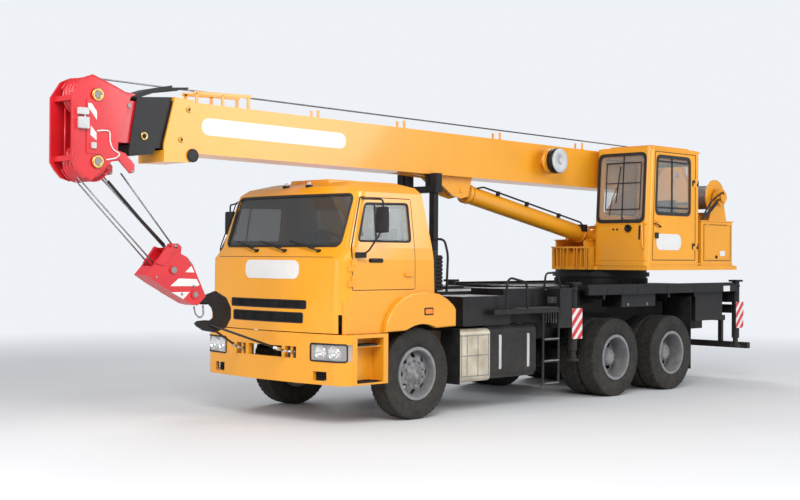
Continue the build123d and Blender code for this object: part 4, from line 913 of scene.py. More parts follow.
def make_head_beads():
    """Raised beads round the head's side plates."""
    bm = bmesh.new()
    edge = [(3.185, 3.434), (3.2445, 3.4415), (3.3615, 3.4885), (3.612, 3.576), (3.718, 3.527),
            (3.827, 3.367), (3.827, 2.731), (3.782, 2.665), (3.713, 2.591), (3.616, 2.562),
            (3.454, 2.686), (3.4, 2.752), (3.302, 2.768)]
    for sign in (1, -1):
        path = [at(x, sign * 0.213, z) for x, z in edge]
        add_tube(bm, smooth_path(path, 0.02), 0.006, 6)
    piece("head_edge_beads", bm, red, "boom_end", smooth=True)


BOOM_BOSSES = ((2.485, 3.334), (2.581, 3.016))
ROLLER = (2.44, 2.86)
MIDDLE_BOSS = (3.007, 3.025)


def make_boom_marks():
    """Blank side plates, bosses and rollers of the boom's base section."""
    bm = bmesh.new()
    places = [on_boom(x, 0, z) for x, z in rounded(0.26, 2.31, 3.002, 3.182, 0.088, 10)]
    both_sides(bm, [(place.x - SHIFT, place.z) for place in places], 0.2195, 0.2225)
    piece("boom_side_plates", bm, white, "boom")
    bm = bmesh.new()
    for x, z in BOOM_BOSSES:
        ringed_boss(bm, x, z, 0.2445, 0.03)
    piece("boom_bosses", bm, brass, "boom")
    bm = bmesh.new()
    for x, z in BOOM_BOSSES:
        both_rods(bm, x, z, 0.24, 0.245, 0.015)
    both_rods(bm, *ROLLER, 0.249, 0.2535, 0.056, 32)
    piece("boom_boss_centres", bm, black, "boom", bevel=0.002)
    bm = bmesh.new()
    both_rings(bm, *ROLLER, [(0.236, 0.03), (0.236, 0.0695), (0.2515, 0.0695), (0.2515, 0.055),
                             (0.247, 0.03)], 40)
    piece("boom_roller_rims", bm, black, "boom")


def make_middle_marks():
    """Bosses and guard flaps of the boom's middle section."""
    bm = bmesh.new()
    ringed_boss(bm, *MIDDLE_BOSS, 0.206, 0.042)
    piece("middle_bosses", bm, brass, "boom_middle")
    # The boss centres are near-black: painted shade of their recess.
    bm = bmesh.new()
    both_rods(bm, *MIDDLE_BOSS, 0.19, 0.204, 0.023)
    piece("middle_boss_centres", bm, recess_shade, "boom_middle")
    bm = bmesh.new()
    flap = [(2.992, 3.473), (2.742, 3.55), (2.397, 3.585), (2.397, 3.565), (2.741, 3.506)]
    both_sides(bm, flap, 0.09, 0.1)
    piece("middle_guard_flap", bm, black, "boom_middle")


def make_rope_guides():
    """Guides on the boom's back."""
    bm = bmesh.new()
    bar = [(2.331, 3.554), (1.56, 3.581), (1.56, 3.543), (2.33, 3.518)]
    both_sides(bm, bar, 0.095, 0.107)
    for x in (1.6, 1.95, 2.29):
        for y in (-0.101, 0.101):
            add_box(bm, (x - 0.02, y - 0.006, 3.405), (x + 0.02, y + 0.006, 3.545))
    for x, z in ((-6.2, 3.34), (-4.4, 3.36), (-2.6, 3.375), (-0.8, 3.39), (0.6, 3.4)):
        add_box(bm, (x - 0.03, -0.05, z - 0.012), (x + 0.03, 0.14, z + 0.012))
        for y in (0.0, 0.12):
            add_box(bm, (x - 0.02, y - 0.004, z + 0.01), (x + 0.02, y + 0.004, z + 0.1))
    piece("boom_rope_guides", bm, yellow, "boom", bevel=0.003)


def make_boom_ropes():
    """The rope over the boom, its rear sheave and its run to the winch."""
    for name, x_low, x_high, body in (("rope_over_boom", -6.78, 2.35, "boom"),
                                      ("rope_over_head", -4.5, 3.47, "boom_end")):
        bm = bmesh.new()
        add_tube(bm, [on_boom(x, ROPE_Y, ROPE_LEVEL_Z) for x in (x_low, x_high)], ROPE_RADIUS)
        piece(name, bm, rope, body, smooth=True)
    bm = bmesh.new()
    add_ring(bm, (-6.78, ROPE_Y, 3.406), (0, 1, 0),
             [(-0.02, 0.015), (-0.02, 0.066), (0, 0.056), (0.02, 0.066), (0.02, 0.015)], 32)
    for y in (ROPE_Y - 0.032, ROPE_Y + 0.026):
        add_box(bm, (-6.82, y, 3.3), (-6.74, y + 0.006, 3.43))
    piece("boom_rear_sheave", bm, black, "boom")
    bm = bmesh.new()
    add_tube(bm, [at(WINCH[0] + 0.05, ROPE_Y, WINCH[1] + 0.19), at(-6.82, ROPE_Y, 3.46)], ROPE_RADIUS)
    piece("rope_to_winch", bm, rope, "upper", smooth=True)


def band(low, high, inner, outer):
    """The profile of a plain ring with square edges."""
    return [(low, inner), (low, outer), (high, outer), (high, inner)]


def make_reel():
    """The cable reel on the boom's side."""
    middle = on_boom(-3.4, 0, 3.1)
    centre = (middle.x - SHIFT, 0, middle.z)
    bm = bmesh.new()
    add_ring(bm, centre, (0, 1, 0), band(0.4, 0.5, 0.13, 0.1675), 56)
    piece("reel_band", bm, black, "boom")
    bm = bmesh.new()
    add_ring(bm, centre, (0, 1, 0), [(0.5, 0.03), (0.5, 0.165), (0.508, 0.165), (0.516, 0.15),
                                     (0.516, 0.03)], 56)
    add_rod(bm, (centre[0], 0.5, centre[2]), (centre[0], 0.53, centre[2]), 0.04, 24)
    piece("reel_face", bm, light_grey, "boom")
    bm = bmesh.new()
    add_ring(bm, centre, (0, 1, 0), [(0.33, 0.13), (0.33, 0.172), (0.345, 0.172), (0.345, 0.166),
                                     (0.39, 0.166), (0.39, 0.172), (0.4, 0.172), (0.4, 0.13)], 56)
    piece("reel_rim", bm, yellow, "boom")


def cylinder_ring(bm, distance, profile):
    """A ring round the luffing cylinder, at a distance from its foot."""
    foot = Vector((FOOT_PIN[0], 0, FOOT_PIN[1]))
    along = (Vector((EYE_PIN[0], 0, EYE_PIN[1])) - foot).normalized()
    add_ring(bm, foot + along * distance, along, profile)


def make_cylinder():
    """Gland, pipe and foot nuts of the luffing cylinder."""
    bm = bmesh.new()
    cylinder_ring(bm, 2.66, band(0, 0.07, 0.117, 0.13))
    cylinder_ring(bm, 0.2, band(0, 0.04, 0.117, 0.126))
    cylinder_ring(bm, 2.724, [(0, 0.0765), (0, 0.112), (0.012, 0.104), (0.012, 0.0765)])
    piece("cylinder_gland", bm, yellow, "luff_tube")
    bm = bmesh.new()
    path = [(-4.45, 0.1, 2.29), (-4.4, 0.1, 2.33), (-2.3, 0.1, 2.74), (-2.2, 0.08, 2.72)]
    add_tube(bm, tube_path(path, 0.03), 0.012, 10)
    for x in (-3.9, -3.2, -2.6):
        z = 2.33 + (x + 4.4) * 0.1952
        add_box(bm, (x - 0.02, 0.075, z - 0.045), (x + 0.02, 0.115, z + 0.016))
    add_box(bm, (-4.52, 0.06, 2.2), (-4.4, 0.135, 2.3))
    piece("cylinder_pipe", bm, black, "luff_tube")
    bm = bmesh.new()
    both_rods(bm, *FOOT_PIN, 0.262, 0.262 * 1.09, 0.03, 6)
    piece("cylinder_foot_nuts", bm, steel, "upper")


# Hook block, ropes and slings

BLOCK_FACE = 0.11
BLOCK_STRIPES = (((2.429, 1.649), (2.35, 1.715), (2.312, 1.645)),
                 ((2.616, 1.505), (2.509, 1.584), (2.282, 1.576), (2.244, 1.515), (2.267, 1.501)),
                 ((2.601, 1.442), (2.369, 1.442), (2.449, 1.367)))


def add_torus(bm, centre, axis, ring_radius, bar_radius, steps=20, sides=8):
    """A closed round ring of bar."""
    turn = frame_along(axis)
    centre = at(*centre)
    path = [centre + turn @ Vector((a, b, 0)) for a, b in circle(steps, ring_radius)]
    add_tube(bm, path, bar_radius, sides, closed=True)


def add_shackle(bm, pin, reach, width):
    """A bow shackle: its pin lies across and its bow reaches towards a direction."""
    pin, reach = at(*pin), Vector(reach)
    side = Vector((0, width / 2, 0))
    path = [pin + side, pin + side + reach * 0.5, pin + side * 0.6 + reach * 0.9, pin + reach,
            pin - side * 0.6 + reach * 0.9, pin - side + reach * 0.5, pin - side]
    add_tube(bm, path, 0.013, 8)
    add_rod(bm, pin - side * 1.3, pin + side * 1.3, 0.014, 12, shifted=False)


def make_hook_block():
    """Stripes and pins of the hook block, and the hook's latch."""
    bm = bmesh.new()
    for outline in BLOCK_STRIPES:
        both_sides(bm, outline, BLOCK_FACE - 0.001, BLOCK_FACE + 0.0015)
    piece("block_stripes", bm, white, "hook_set")
    bm = bmesh.new()
    both_rods(bm, *HOOK_PIN, 0.124, 0.133, 0.034)
    both_rods(bm, 2.303, 1.413, 0.121, 0.13, 0.03)
    for x, z in ((2.62, 1.85), (2.36, 1.74), (2.79, 1.6), (2.32, 1.5), (2.47, 1.42)):
        both_rods(bm, x, z, 0.109, 0.12, 0.014, 6)
    piece("block_pins", bm, dull_steel, "hook_set", bevel=0.002)
    bm = bmesh.new()
    loop = [(2.236, 0, 1.281), (2.213, 0, 1.195), (2.153, 0, 1.157), (2.108, 0, 1.192),
            (2.117, 0, 1.291)]
    add_tube(bm, tube_path(loop, 0.05), 0.009, 8)
    piece("hook_latch", bm, dull_steel, "hook_set", smooth=True)
    blacken_hook()


def blacken_hook():
    """Paints the hook below the red block black."""
    mesh = nodes["hook_block"].data
    mesh.materials.append(black)
    for polygon in mesh.polygons:
        x, y, z = polygon.center
        if x - SHIFT < 2.245 and abs(y) < 0.0375 and z < 1.45:
            polygon.material_index = 1


def make_falls():
    """The rope falls of the block, with a sleeve on one and their anchor."""
    bm = bmesh.new()
    for y, top, low in ((0.05, (3.676, 2.586), (2.78, 1.74)), (-0.05, (3.64, 2.56), (2.74, 1.7)),
                        (0.045, (3.4, 2.62), (2.585, 1.87)), (-0.045, (3.39, 2.63), (2.56, 1.88))):
        add_tube(bm, [at(top[0], y, top[1]), at(low[0], y, low[1])], 0.0085, 10)
    piece("hoist_rope_falls", bm, rope, "hook_set", smooth=True, replaced=["hoist_ropes"])
    bm = bmesh.new()
    add_tube(bm, [at(3.33, 0.045, 2.56), at(2.95, 0.045, 2.195), at(2.65, 0.045, 1.93)], 0.0155, 12)
    piece("rope_sleeve", bm, rubber, "hook_set", smooth=True)
    bm = bmesh.new()
    add_tube(bm, [at(3.15, 0.0, 2.65), at(2.51, 0.0, 1.925)], 0.009, 10)
    add_rod(bm, (2.5, -0.05, 1.92), (2.5, 0.05, 1.92), 0.02, 12)
    piece("rope_anchor", bm, rope, "hook_set", smooth=True)


def make_slings():
    """The slings that tie the hook down to the bumper, with their fittings."""
    bm = bmesh.new()
    fittings = bmesh.new()
    for _, sign in SIDES:
        top = Vector((2.06, sign * 0.03, 1.09))
        low = Vector((1.335, sign * 0.405, 0.795))
        add_tube(bm, [at(*top), at(*low)], 0.0125, 12)
        add_torus(fittings, (1.315, sign * 0.412, 0.79), (0, 0, 1), 0.032, 0.0085)
        add_shackle(fittings, (1.232, sign * 0.43, 0.78), (0.075, -sign * 0.012, 0.008), 0.07)
        add_rod(fittings, top.lerp(low, 0.86), top.lerp(low, 0.97), 0.019, 12)
    piece("tie_slings", bm, seal, "hook_set", smooth=True)
    piece("tie_fittings", fittings, steel, "hook_set", smooth=True)


make_head_marks()
make_head_sheaves()
make_head_boxes()
make_head_beads()
make_boom_marks()
make_middle_marks()
make_rope_guides()
make_boom_ropes()
make_reel()
make_cylinder()
make_hook_block()
make_falls()
make_slings()


# Operator cab

OP_FRONT = -4.43
OP_BOTTOM = 1.72
OP_TOP = 3.36
OP_LEAN = 0.1


def op_front(z, out=0.0):
    """X of the operator cab's leaning front at a height."""
    return OP_FRONT - OP_LEAN * (z - OP_BOTTOM) / (OP_TOP - OP_BOTTOM) + out


def add_op_front(bm, outline, out, depth):
    """A plate on the operator cab's front, with an outline of (y, z) points."""
    close_plate(bm, [at(op_front(z, out), y, z) for y, z in outline],
                [at(op_front(z, out - depth), y, z) for y, z in outline])


def frame_parts(outer, inner, radius=0.1):
    """The parts of a window frame with round corners between two outlines."""
    far, near = round_outline(outer, radius, 6), round_outline(inner, radius * 0.7, 6)
    count = len(far)
    return [(far[k], far[(k + 1) % count], near[(k + 1) % count], near[k]) for k in range(count)]


OP_FRONT_OUTER = ((0.325, 3.29), (1.135, 3.29), (1.135, 2.31), (0.325, 2.31))
OP_FRONT_INNER = ((0.37, 3.245), (1.09, 3.245), (1.09, 2.36), (0.37, 2.36))
OP_REAR_OUTER = ((0.4, 3.22), (1.08, 3.22), (1.08, 2.58), (0.4, 2.58))
OP_REAR_INNER = ((0.46, 3.16), (1.02, 3.16), (1.02, 2.64), (0.46, 2.64))
OP_DOOR_OUTER = ((-4.655, 3.26), (-5.52, 3.26), (-5.52, 2.42), (-4.62, 2.42))
OP_DOOR_INNER = ((-4.7, 3.215), (-5.475, 3.215), (-5.475, 2.468), (-4.668, 2.468))


def make_operator_front():
    """Frame and guard bars of the front window."""
    bm = bmesh.new()
    for part in frame_parts(OP_FRONT_OUTER, OP_FRONT_INNER):
        add_op_front(bm, part, 0.006, 0.012)
    bars = ((0.748, 0.764, 2.36, 3.245), (0.47, 0.482, 2.5, 3.15), (1.04, 1.052, 2.5, 3.15),
            (0.47, 1.05, 2.86, 2.874), (0.47, 1.05, 3.14, 3.156), (0.47, 1.05, 2.495, 2.51))
    for y_low, y_high, z_low, z_high in bars:
        add_op_front(bm, ((y_low, z_low), (y_low, z_high), (y_high, z_high), (y_high, z_low)),
                     0.003, 0.01)
    add_op_front(bm, rounded(1.045, 1.075, 2.08, 2.275, 0.008), 0.005, 0.008)
    piece("operator_front_frame", bm, seal, "upper", bevel=0.002)


def make_operator_door():
    """Window frame, seam, handle and blank plate of the sliding door."""
    bm = bmesh.new()
    for part in frame_parts(OP_DOOR_OUTER, OP_DOOR_INNER):
        add_prism(bm, part, 1.194, 1.206)
    for x_low, x_high, z_low, z_high in ((-5.065, -5.035, 2.46, 3.22), (-5.46, -4.68, 3.16, 3.18),
                                         (-5.46, -4.68, 2.52, 2.54)):
        add_box(bm, (x_low, 1.186, z_low), (x_high, 1.2, z_high))
    piece("operator_door_frame", bm, seal, "op_door", bevel=0.002)
    # The door seam is a dark bead: painted shade of the gap round the door.
    bm = bmesh.new()
    seam = ((-4.56, 1.8), (-4.63, 3.3), (-5.64, 3.3), (-5.64, 1.8))
    add_tube(bm, [at(x, 1.2012, z) for x, z in dense(seam, 0.2)], 0.0045, 6, closed=True)
    piece("operator_door_seam", bm, recess_shade, "upper")
    bm = bmesh.new()
    add_tube(bm, tube_path([(-4.61, 1.2, 2.3), (-4.61, 1.235, 2.3), (-4.73, 1.235, 2.26),
                            (-4.73, 1.2, 2.26)], 0.02), 0.009, 10)
    add_box(bm, (-4.7, 1.199, 2.1), (-4.62, 1.214, 2.18))
    for z in (2.0, 2.9):
        add_box(bm, (-5.72, 1.198, z - 0.04), (-5.56, 1.208, z + 0.04))
    piece("operator_door_handle", bm, plastic, "op_door")
    bm = bmesh.new()
    add_prism(bm, rounded(-5.277, -4.66, 1.94, 2.165, 0.1, 8), 1.1995, 1.2025)
    piece("operator_door_plate", bm, white, "op_door")


def make_operator_fittings():
    """Lamp, wipers, rails and roof edge of the operator cab."""
    bm = bmesh.new()
    x = op_front(2.238)
    add_ring(bm, (x, 0.883, 2.238), (1, 0, 0),
             [(-0.01, 0.005), (-0.01, 0.045), (0.035, 0.052), (0.045, 0.046), (0.02, 0.03),
              (0.012, 0.005)], 28)
    for y in (0.628, 0.691):
        add_rod(bm, (op_front(2.225, -0.005), y, 2.225), (op_front(2.225, 0.012), y, 2.225), 0.014, 14)
    add_tube(bm, [at(op_front(2.42, 0.02), 0.56, 2.42), at(op_front(2.65, 0.025), 0.6, 2.65),
                  at(op_front(2.85, 0.02), 0.7, 2.85)], 0.006, 8)
    add_tube(bm, [at(op_front(2.6, 0.018), 0.66, 2.6), at(op_front(3.1, 0.018), 0.72, 3.1)], 0.008, 8)
    piece("operator_front_fittings", bm, plastic, "upper")
    bm = bmesh.new()
    rail = [(op_front(2.32, -0.01), 1.09, 2.322), (op_front(2.3, 0.05), 1.122, 2.3),
            (op_front(2.0, 0.05), 1.147, 1.98), (op_front(1.96, -0.01), 1.147, 1.95)]
    add_tube(bm, tube_path(rail, 0.03), 0.011, 10)
    for z in (1.79, 2.29):
        add_op_front(bm, ((0.3, z), (0.3, z + 0.012), (1.185, z + 0.012), (1.185, z)), 0.006, 0.01)
    add_box(bm, (-5.72, 0.34, 3.352), (-4.6, 1.15, 3.372))
    for z in (1.74, 3.33):
        add_box(bm, (-5.76, 1.195, z), (-4.56, 1.206, z + 0.02))
    piece("operator_cab_rails", bm, yellow, "upper", bevel=0.003)


def make_operator_back():
    """Louvres and window frames away from the door."""
    bm = bmesh.new()
    add_bars(bm, (-5.774, 0.5, 2.05), (-5.764, 1.0, 2.07), (0, 0, 0.035), 9)
    piece("operator_rear_louvres", bm, plastic, "upper")
    bm = bmesh.new()
    for part in frame_parts(OP_REAR_OUTER, OP_REAR_INNER):
        add_prism(bm, part, -5.776, -5.764, axis="x")
    for part in frame_parts(OP_DOOR_OUTER, OP_DOOR_INNER):
        add_prism(bm, part, 0.279, 0.291)
    piece("operator_back_frames", bm, seal, "upper")


# Machine box, winch and turntable

def make_machine_box():
    """Door, seam, lock, louvres and blank label of the machine box."""
    # The seam round the door is a dark bead: painted shade of the gap.
    bm = bmesh.new()
    door = ((-5.954, 2.32), (-6.687, 2.32), (-6.687, 1.796), (-5.954, 1.796))
    add_tube(bm, [at(x, 1.1505, z) for x, z in dense(door, 0.15)], 0.005, 6, closed=True)
    piece("machine_box_seams", bm, recess_shade, "upper")
    bm = bmesh.new()
    add_prism(bm, rounded(-6.66, -5.98, 1.825, 2.295, 0.03), 1.149, 1.156)
    for x in (-6.6, -6.04):
        add_rod(bm, (x - 0.04, 1.158, 2.325), (x + 0.04, 1.158, 2.325), 0.01, 12)
    add_box(bm, (-6.76, 0.28, 2.366), (-5.86, 1.165, 2.382))
    add_box(bm, (-6.76, 1.14, 1.712), (-5.86, 1.16, 1.735))
    piece("machine_box_door", bm, yellow, "upper", bevel=0.004)
    bm = bmesh.new()
    add_rod(bm, (-6.288, 1.15, 1.85), (-6.288, 1.166, 1.85), 0.024, 20)
    add_rod(bm, (-6.288, 1.166, 1.85), (-6.288, 1.172, 1.85), 0.012, 6)
    add_bars(bm, (-6.746, 0.5, 1.95), (-6.736, 0.95, 1.972), (0, 0, 0.04), 7)
    piece("machine_box_fittings", bm, plastic, "upper")
    bm = bmesh.new()
    add_prism(bm, rounded(-6.528, -6.393, 1.865, 1.94, 0.005), 1.155, 1.158)
    piece("machine_box_label", bm, white, "upper")


SLEW_TEETH = 96
WINCH_TURNS = 46
WINCH_STEPS = 20
WINCH_REACH = 0.41


def make_winch_rope():
    """The rope's turns on the drum, as one helix."""
    bm = bmesh.new()
    steps = WINCH_TURNS * WINCH_STEPS
    turns = circle(WINCH_STEPS, 0.178) * WINCH_TURNS
    path = [at(WINCH[0] + dx, WINCH_REACH * (2 * k / steps - 1), WINCH[1] + dz)
            for k, (dx, dz) in enumerate(turns + turns[:1])]
    add_tube(bm, path, 0.0092, 6)
    piece("winch_rope", bm, rope, "drum", smooth=True)


def make_winch_drum():
    """Flanges of the drum, its motor and its bearing."""
    bm = bmesh.new()
    both_rings(bm, *WINCH, [(0.418, 0.18), (0.418, 0.2715), (0.4415, 0.2715), (0.4415, 0.25),
                            (0.445, 0.1), (0.441, 0.062), (0.43, 0.062)], 56)
    for dx, dz in circle(8, 0.12):
        both_rods(bm, WINCH[0] + dx, WINCH[1] + dz, 0.44, 0.454, 0.012, 6)
    piece("winch_flanges", bm, yellow, "drum")
    bm = bmesh.new()
    for low, high, radius, sides in ((0.49, 0.56, 0.13, 36), (0.56, 0.6, 0.085, 30)):
        add_rod(bm, (WINCH[0], low, WINCH[1]), (WINCH[0], high, WINCH[1]), radius, sides)
    for dx, dz in circle(8, 0.11, 0.5):
        x, z = WINCH[0] + dx, WINCH[1] + dz
        add_rod(bm, (x, 0.555, z), (x, 0.57, z), 0.011, 6)
    add_rod(bm, (WINCH[0], -0.49, WINCH[1]), (WINCH[0], -0.53, WINCH[1]), 0.12, 36)
    piece("winch_motor", bm, yellow, "upper", bevel=0.004)


def make_winch_hoses():
    bm = bmesh.new()
    hoses = (((-6.784, 0.6, 2.39), (-6.9, 0.6, 2.55), (-7.077, 0.6, 2.724), (-7.345, 0.6, 2.841),
              (-7.42, 0.6, 2.86), (-7.43, 0.585, 2.8)),
             ((-6.79, 0.55, 2.37), (-6.9, 0.57, 2.46), (-7.079, 0.58, 2.6), (-7.3, 0.58, 2.74),
              (-7.4, 0.57, 2.75)),
             ((-6.8, 0.5, 2.36), (-6.95, 0.52, 2.43), (-7.15, 0.54, 2.56), (-7.32, 0.55, 2.7)))
    for hose in hoses:
        add_tube(bm, tube_path(hose, 0.12, 6), 0.014, 10)
    piece("winch_hoses", bm, seal, "upper", smooth=True)


def make_cheeks():
    """Flanges, stiffeners and pins of the turntable's cheeks."""
    bm = bmesh.new()
    edge = [(-4.29, 2.07), (-4.56, 2.08), (-4.64, 2.26), (-4.82, 2.26), (-5.3, 2.3),
            (-6.25, 3.18), (-6.56, 3.29), (-6.76, 3.23), (-7.25, 2.42), (-7.3, 2.06)]
    for sign in (1, -1):
        for (x0, z0), (x1, z1) in zip(edge, edge[1:]):
            dx, dz = x1 - x0, z1 - z0
            length = math.hypot(dx, dz)
            nx, nz = -dz / length * 0.012, dx / length * 0.012
            corners = ((x0, z0), (x1, z1), (x1 - nx, z1 - nz), (x0 - nx, z0 - nz))
            add_prism(bm, corners, sign * 0.262, sign * 0.285)
    for y in (-0.29, -0.12, 0.12, 0.29):
        add_box(bm, (-4.31, y - 0.006, 1.67), (-4.285, y + 0.006, 1.96))
    piece("cheek_flanges", bm, yellow, "upper")
    bm = bmesh.new()
    for x, z, radius in ((*PIVOT, 0.05), (*FOOT_PIN, 0.04)):
        both_rods(bm, x, z, 0.279, 0.29, radius)
        both_rods(bm, x, z, 0.29, 0.3, radius * 0.4, 6)
    piece("cheek_pins", bm, steel, "upper", bevel=0.002)


def make_slew_ring():
    """Teeth and bolts of the slewing ring."""
    bm = bmesh.new()
    tooth = Matrix.Translation((0.662, 0, 1.5)) @ Matrix.Diagonal((0.03, 0.022, 0.07, 1))
    for k in range(SLEW_TEETH):
        turn = Matrix.Translation(at(SLEW_X, 0, 0)) @ Matrix.Rotation(math.tau * k / SLEW_TEETH, 4, "Z")
        bmesh.ops.create_cube(bm, size=1, matrix=turn @ tooth)
    for dx, y in circle(36, 0.625):
        add_rod(bm, (SLEW_X + dx, y, 1.44), (SLEW_X + dx, y, 1.455), 0.016, 6)
    piece("slew_ring_teeth", bm, black, "chassis")


make_operator_front()
make_operator_door()
make_operator_fittings()
make_operator_back()
make_machine_box()
make_winch_rope()
make_winch_drum()
make_winch_hoses()
make_cheeks()
make_slew_ring()


# Deck, sides and outriggers

def make_deck():
    """Ribs, edges, blank labels and hoops of the deck."""
    bm = bmesh.new()
    for _, sign in SIDES:
        add_bars(bm, (-6.5, sign * 0.86 - 0.3, 1.4395), (-6.488, sign * 0.86 + 0.3, 1.4445),
                 (0.075, 0, 0), 46)
        add_box(bm, (-6.72, sign * 1.19 - 0.008, 1.43), (-3.1, sign * 1.19 + 0.008, 1.475))
    piece("deck_ribs", bm, black, "chassis")
    bm = bmesh.new()
    both_sides(bm, rounded(-6.6, -6.42, 1.345, 1.425, 0.006), 1.1995, 1.202)
    piece("deck_labels", bm, white, "chassis")
    bm = bmesh.new()
    for _, sign in SIDES:
        y = sign * 1.185
        add_tube(bm, tube_path([(-2.21, y, 1.43), (-2.25, y, 1.63), (-2.46, y, 1.64), (-2.56, y, 1.43)],
                               0.05), 0.013, 10)
        for x in (-6.3, -5.6, -4.9, -4.2, -3.5):
            add_box(bm, (x - 0.05, sign * 1.2 - 0.004, 1.35), (x - 0.03, sign * 1.2 + 0.004, 1.43))
    piece("deck_hoops", bm, black, "chassis", smooth=True)


STRAP_ROUTE = ((0.53, 0.366), (1.06, 0.366), (1.154, 0.46), (1.154, 0.92), (1.06, 1.0135),
               (0.53, 1.0135))


def make_tank_details():
    """Straps and cap of the fuel tank."""
    bm = bmesh.new()
    for x in (-1.95, -1.42):
        line = tube_path([(x, y, z) for y, z in STRAP_ROUTE], 0.09, 6)
        for here, after in zip(line, line[1:]):
            along = (after - here).normalized()
            out = Vector((0, -along.z, along.y)) * -0.004
            wide = Vector((0.022, 0, 0))
            quad = [here - wide, here + wide, after + wide, after - wide]
            close_plate(bm, quad, [place - out for place in quad])
    piece("tank_straps", bm, light_grey, "chassis")
    bm = bmesh.new()
    add_rod(bm, (-1.6, 1.0, 1.0), (-1.6, 1.03, 1.05), 0.055, 28)
    add_rod(bm, (-1.6, 1.03, 1.05), (-1.6, 1.035, 1.06), 0.03, 6)
    piece("tank_cap", bm, plastic, "chassis", bevel=0.004)


def make_clad_bands():
    bm = bmesh.new()
    for x in (-1.21, -1.02, -0.83, -0.735):
        add_box(bm, (x - 0.006, 1.149, 0.42), (x + 0.006, 1.1525, 0.92))
    for z in (0.43, 0.67, 0.905):
        add_box(bm, (-1.225, 1.149, z - 0.006), (-0.72, 1.153, z + 0.006))
    piece("clad_box_bands", bm, dull_steel, "chassis")


def make_ladder_details():
    """Gratings of the steps, and the levers and valves behind the cab."""
    bm = bmesh.new()
    rear = -2.51
    for z in (0.25, 0.53, 0.8):
        add_box(bm, (rear + 0.01, 1.165, z + 0.005), (rear + 0.3, 1.205, z + 0.017))
        add_bars(bm, (rear + 0.03, 1.163, z + 0.017), (rear + 0.04, 1.207, z + 0.022), (0.048, 0, 0), 6)
    add_bars(bm, (-2.48, 0.97, 1.2), (-2.472, 1.19, 1.206), (0.048, 0, 0), 16)
    piece("step_gratings", bm, dull_steel, "chassis")
    bm = bmesh.new()
    for k in range(5):
        lever, valve = 0.975 + 0.04 * k, 1.0 + 0.03 * k
        add_rod(bm, (-2.525, lever, 1.0), (-2.525, lever, 1.15), 0.008, 8)
        add_box(bm, (-2.54, valve, 1.25), (-2.52, valve + 0.02, 1.33))
    for x in (-4.55, -4.1):
        both_rods(bm, x, 1.2, 1.121, 1.13, 0.02, 14)
    piece("valve_levers", bm, dull_steel, "chassis")


def keep_side(points, level, sign):
    """The part of an outline where x + z lies on one side of a level."""
    kept = []
    for (xa, za), (xb, zb) in zip(points, points[1:] + points[:1]):
        a, b = sign * (xa + za - level), sign * (xb + zb - level)
        if a >= 0:
            kept.append((xa, za))
        if a * b < 0:
            share = a / (a - b)
            kept.append((xa + (xb - xa) * share, za + (zb - za) * share))
    return kept


def warning_band(x_low, x_high, z_low, z_high, start, end):
    """A slanted band across a plate, between two distances from its corner."""
    corner = x_low + z_low + 0.08
    outline = [(x_low, z_low), (x_high, z_low), (x_high, z_high), (x_low, z_high)]
    return keep_side(keep_side(outline, corner + start, 1), corner + end, -1)


def make_beam_details():
    """Warning plates with red bands, and jack caps, that travel with the outrigger beams."""
    for end, (side, sign) in [(end, side) for end in ("front", "rear") for side in SIDES]:
        low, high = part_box(f"jack_{end}_{side}")
        middle = (low[0] + high[0]) / 2 - SHIFT
        body = f"beam_{end}_{side[0]}"
        bm = bmesh.new()
        corners = (middle - 0.105, middle + 0.105, 0.79, 1.18)
        add_prism(bm, rounded(*corners, 0.008), sign * 1.197, sign * 1.2)
        piece(f"warning_plate_{end}_{side}", bm, white, body)
        bm = bmesh.new()
        for distance in (0.0, 0.155, 0.31, 0.465):
            stripe = warning_band(*corners, distance - 0.04, distance + 0.04)
            if len(stripe) > 2:
                add_prism(bm, stripe, sign * 1.1995, sign * 1.2012)
        piece(f"warning_bands_{end}_{side}", bm, red, body)
        bm = bmesh.new()
        add_ring(bm, (middle, sign * 1.128, 1.405), (0, 0, 1),
                 [(0, 0.01), (0, 0.064), (0.025, 0.064), (0.035, 0.05), (0.035, 0.01)], 28)
        for dx, dy in circle(6, 0.05):
            x, y = middle + dx, sign * 1.128 + dy
            add_rod(bm, (x, y, 1.42), (x, y, 1.438), 0.007, 6)
        piece(f"jack_cap_{end}_{side}", bm, black, body)


def make_rear_lamps():
    rear = -7.06
    for side, sign in SIDES:
        bm = bmesh.new()
        add_box(bm, (rear - 0.06, sign * 0.75 - 0.21, 1.0), (rear, sign * 0.75 + 0.21, 1.13))
        piece(f"rear_lamp_body_{side}", bm, plastic, "chassis", bevel=0.006)
        for colour, places, lens in (("red", (0.6, 0.74), red_lens), ("amber", (0.88,), orange_lens)):
            bm = bmesh.new()
            for y in places:
                add_prism(bm, rounded(sign * y - 0.055, sign * y + 0.055, 1.015, 1.115, 0.02),
                          rear - 0.066, rear - 0.056, axis="x")
            piece(f"rear_lamp_{colour}_{side}", bm, lens, "chassis", bevel=0.003)
    bm = bmesh.new()
    add_prism(bm, rounded(-0.2, 0.2, 1.05, 1.16, 0.01), rear - 0.01, rear - 0.004, axis="x")
    piece("rear_blank_plate", bm, white, "chassis")


make_deck()
make_tank_details()
make_clad_bands()
make_ladder_details()
make_beam_details()
make_rear_lamps()


# Camera, light and stage

CAMERA_PLACE = (10.37350575, 11.17294224, 1.82400318)
CAMERA_YAW = math.radians(-135.1639939)
CAMERA_PITCH = math.radians(0.3013301)
CAMERA_ROLL = math.radians(0.3587133)
FOCAL_PIXELS = 1285.4385
IMAGE_WIDTH = 800
SENSOR = 36
BACKGROUND = (0.86, 0.89, 0.93, 1)
FLOOR_FADE = (7.0, 17.0)


